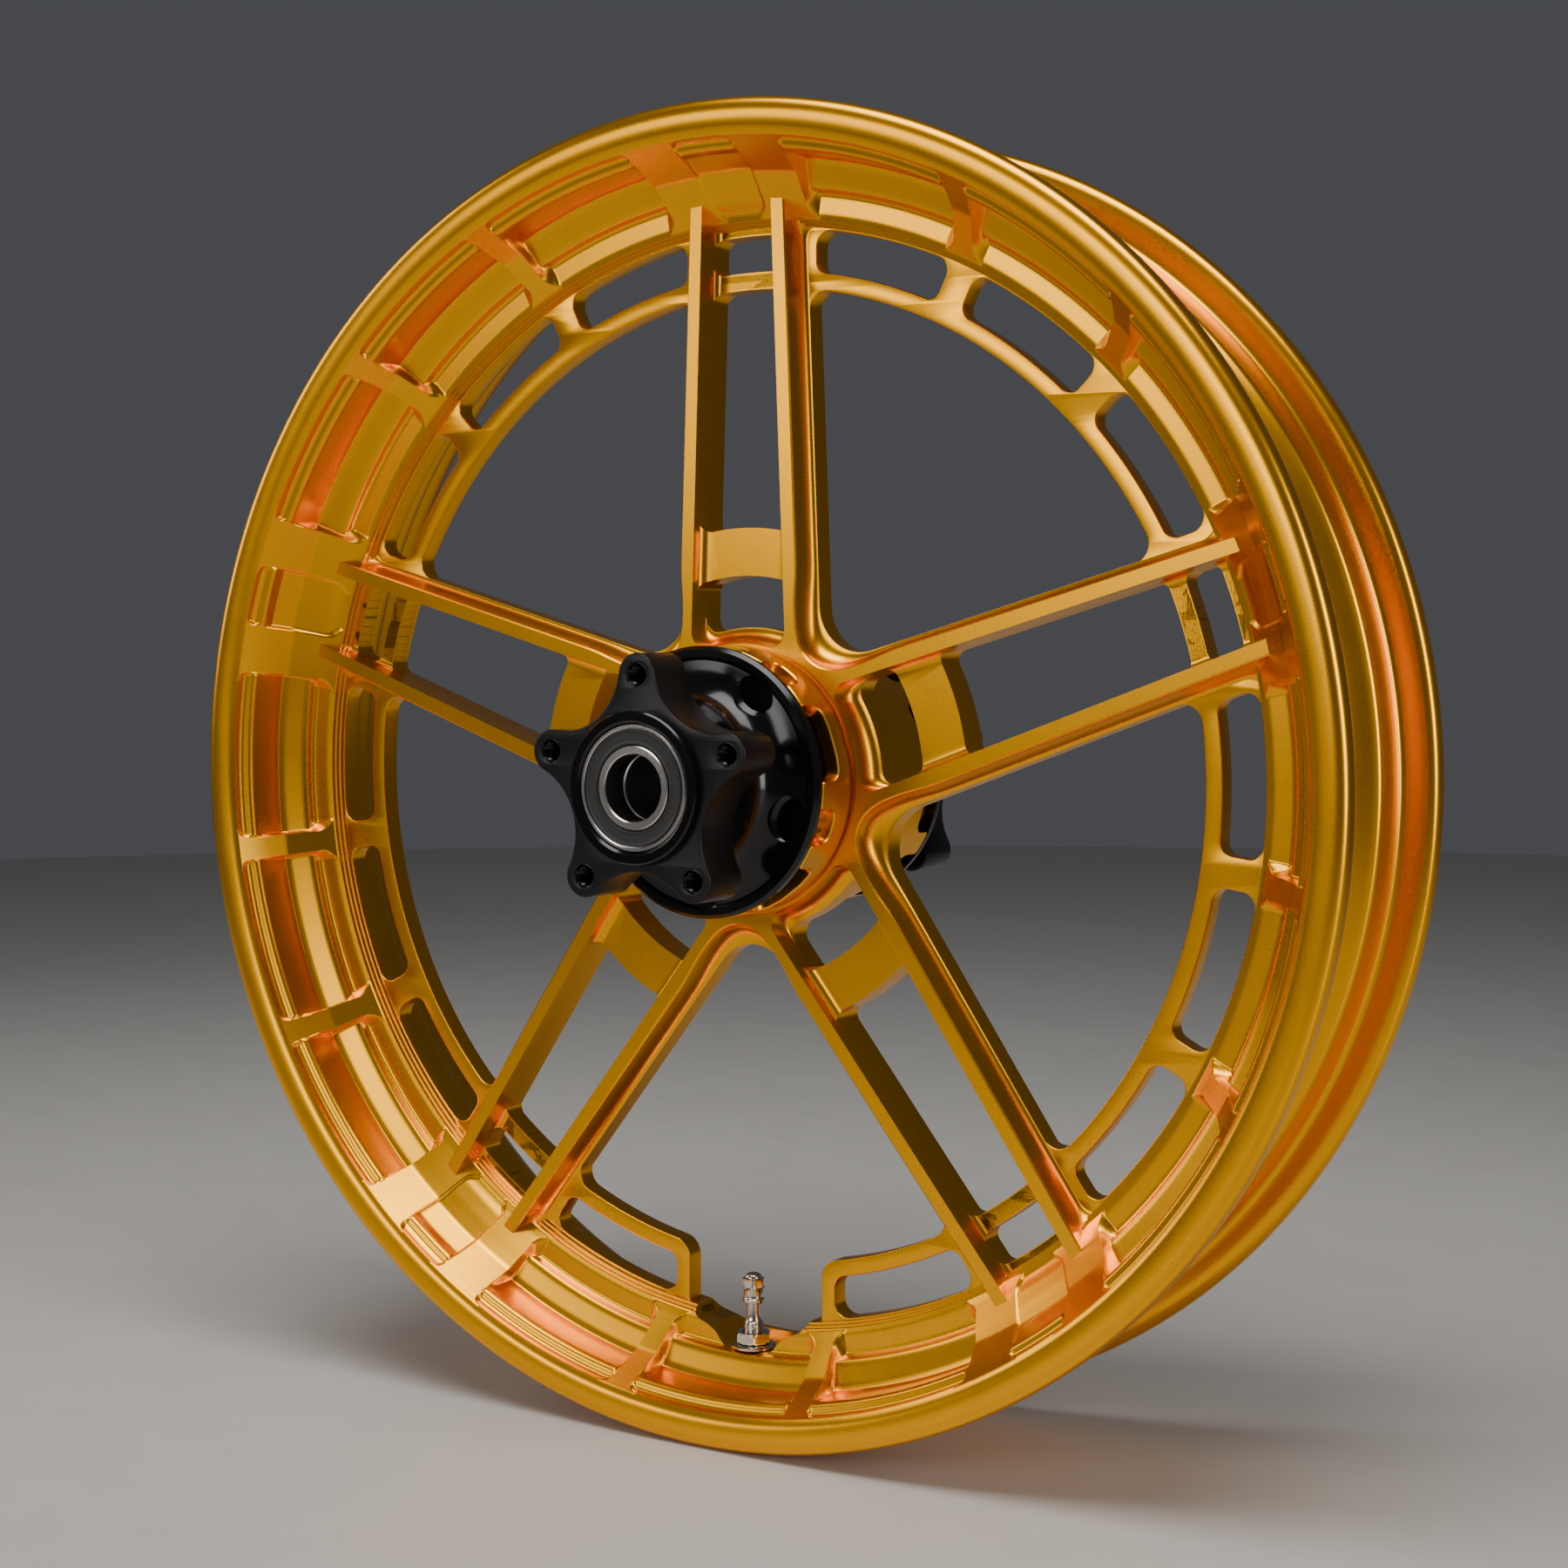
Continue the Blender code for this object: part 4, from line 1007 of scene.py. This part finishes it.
def finishes():
    """Every finish in the scene, by its short name."""
    return {
        "gold": surface("gold_blasted", GOLD, 1.0, 0.28, spread=0.015, tint=0.03, bump=0.08),
        "black": surface("black_satin", (0.022, 0.021, 0.023), 0.75, 0.36, tint=0.3),
        "gloss": surface("black_gloss", (0.016, 0.015, 0.017), 0.8, 0.16, spread=0.03, bump=0.06, coat=0.3),
        "steel": surface("bearing_ground", (0.58, 0.55, 0.52), 1.0, 0.24, bump=0.1),
        "brass": surface("cage_pressed", (0.62, 0.44, 0.18), 1.0, 0.35),
        "rubber": surface("seal_rubber", (0.018, 0.018, 0.019), 0.0, 0.48, tint=0.25, bump=0.3, depth=0.03),
        "alloy": surface("spacer_turned", (0.56, 0.56, 0.57), 1.0, 0.32),
        "nickel": surface("valve_plated", (0.66, 0.60, 0.52), 1.0, 0.17, spread=0.04, bump=0.08),
        "floor": surface("floor_pale", (0.60, 0.59, 0.57), 0.0, 0.45, tint=0.03, grain=900.0, bump=0.15),
    }


# ---------------------------------------------------------------- stage


FLOOR_R = 3000
FLOOR_TOP = -255.6
FLOOR_BOTTOM = -262.0


def camera():
    data = bpy.data.cameras.new("camera")
    data.lens = 58.06
    data.sensor_width = 36.0
    obj = bpy.data.objects.new("camera", data)
    bpy.context.scene.collection.objects.link(obj)
    obj.location = (0.538, -0.841, 0.049)
    aim = Vector((0.0066, 0.0, -0.0025)) - obj.location
    obj.rotation_mode = "QUATERNION"
    roll = Matrix.Rotation(math.radians(-0.15), 4, "Z").to_quaternion()
    obj.rotation_quaternion = aim.to_track_quat("-Z", "Y") @ roll
    bpy.context.scene.camera = obj


def area_light(name, at, size, power, color, aim=(0.0, 0.0, 0.0), spread=120):
    data = bpy.data.lights.new(name, "AREA")
    data.shape = "RECTANGLE"
    data.size, data.size_y = size
    data.energy = power
    data.spread = math.radians(spread)
    data.color = color
    obj = bpy.data.objects.new(name, data)
    bpy.context.scene.collection.objects.link(obj)
    obj.location = at
    obj.rotation_mode = "QUATERNION"
    obj.rotation_quaternion = (Vector(aim) - Vector(at)).to_track_quat("-Z", "Y")


def stage(mat):
    """A pale round floor under the rim, a dim even world and four soft lights."""
    verts = [(*polar(FLOOR_R, 4 * i), z) for z in (FLOOR_TOP, FLOOR_BOTTOM) for i in range(90)]
    faces = [tuple(range(90)), tuple(range(90, 180))]
    faces += [(i, (i + 1) % 90, 90 + (i + 1) % 90, 90 + i) for i in range(90)]
    floor = mesh_object("floor", verts, faces, mat)
    world = bpy.data.worlds.new("studio")
    world.use_nodes = True
    world.node_tree.nodes["Background"].inputs["Color"].default_value = (0.10, 0.103, 0.112, 1)
    world.node_tree.nodes["Background"].inputs["Strength"].default_value = 0.7
    bpy.context.scene.world = world
    area_light("overhead", (0.1, -0.45, 1.3), (1.2, 0.7), 8.5, (1.0, 0.97, 0.93))
    area_light("front_bank", (-0.5, -1.9, 0.45), (1.5, 0.45), 4.2, (1.0, 0.97, 0.93))
    area_light("right_bank", (1.6, -0.3, 0.35), (0.45, 1.1), 5, (1.0, 0.97, 0.93))
    area_light("left_bank", (-1.5, -0.5, 0.6), (0.4, 1.0), 2, (1.0, 0.97, 0.94))


# ---------------------------------------------------------------- assembly

camera()
looks = finishes()
stage(looks["floor"])

gold = looks["gold"]
rim_piece = rim(gold)
cut(rim_piece, valve_cutters(), sharp=50)
forging_parts = ("rim_sector", "spoke_pair", "wheel_centre")
forging = [name for name in frame["nodes"] if name.startswith(forging_parts)]
give(rim_piece, "wheel", "gold_anodised", *forging)
lattice_piece = lattice(gold)
recess, bore = valve_cutters()
bpy.data.objects.remove(bore)
cut(lattice_piece, [recess])
for piece in (lattice_piece, spokes(gold), drum(gold), posts(gold)):
    give(piece, "wheel", "gold_anodised")

for label, side in (("left", -1), ("right", 1)):
    carrier, star = hub(label, side, looks["black"], looks["gloss"])
    give(carrier, "wheel", "black_anodised", f"hub_{label}")
    give(star, "wheel", "black_anodised")
    give(thread_sleeve(f"{label}_disc_threads", side, looks["gloss"]), "wheel", "black_anodised")
    for number, angle in enumerate(HUB_PINS, 1):
        pin = hub_pin(f"{label}_pin_{number}", side, angle, looks["steel"])
        give(pin, "wheel", "pin_steel", f"hub_pin_{label}_{number}")
    bearing(label, side, (looks["steel"], looks["brass"], looks["rubber"]))

spacer = [(12.5, -80.2), (13.0, -80.7), (14.6, -80.7), (15.0, -80.3)]
spacer += mirrored(spacer[::-1], -1)
give(revolve("spacer_tube", spacer, looks["alloy"], 96), "axle_group", "spacer_alloy", "axle_spacer")
valve(looks["nickel"], looks["rubber"])
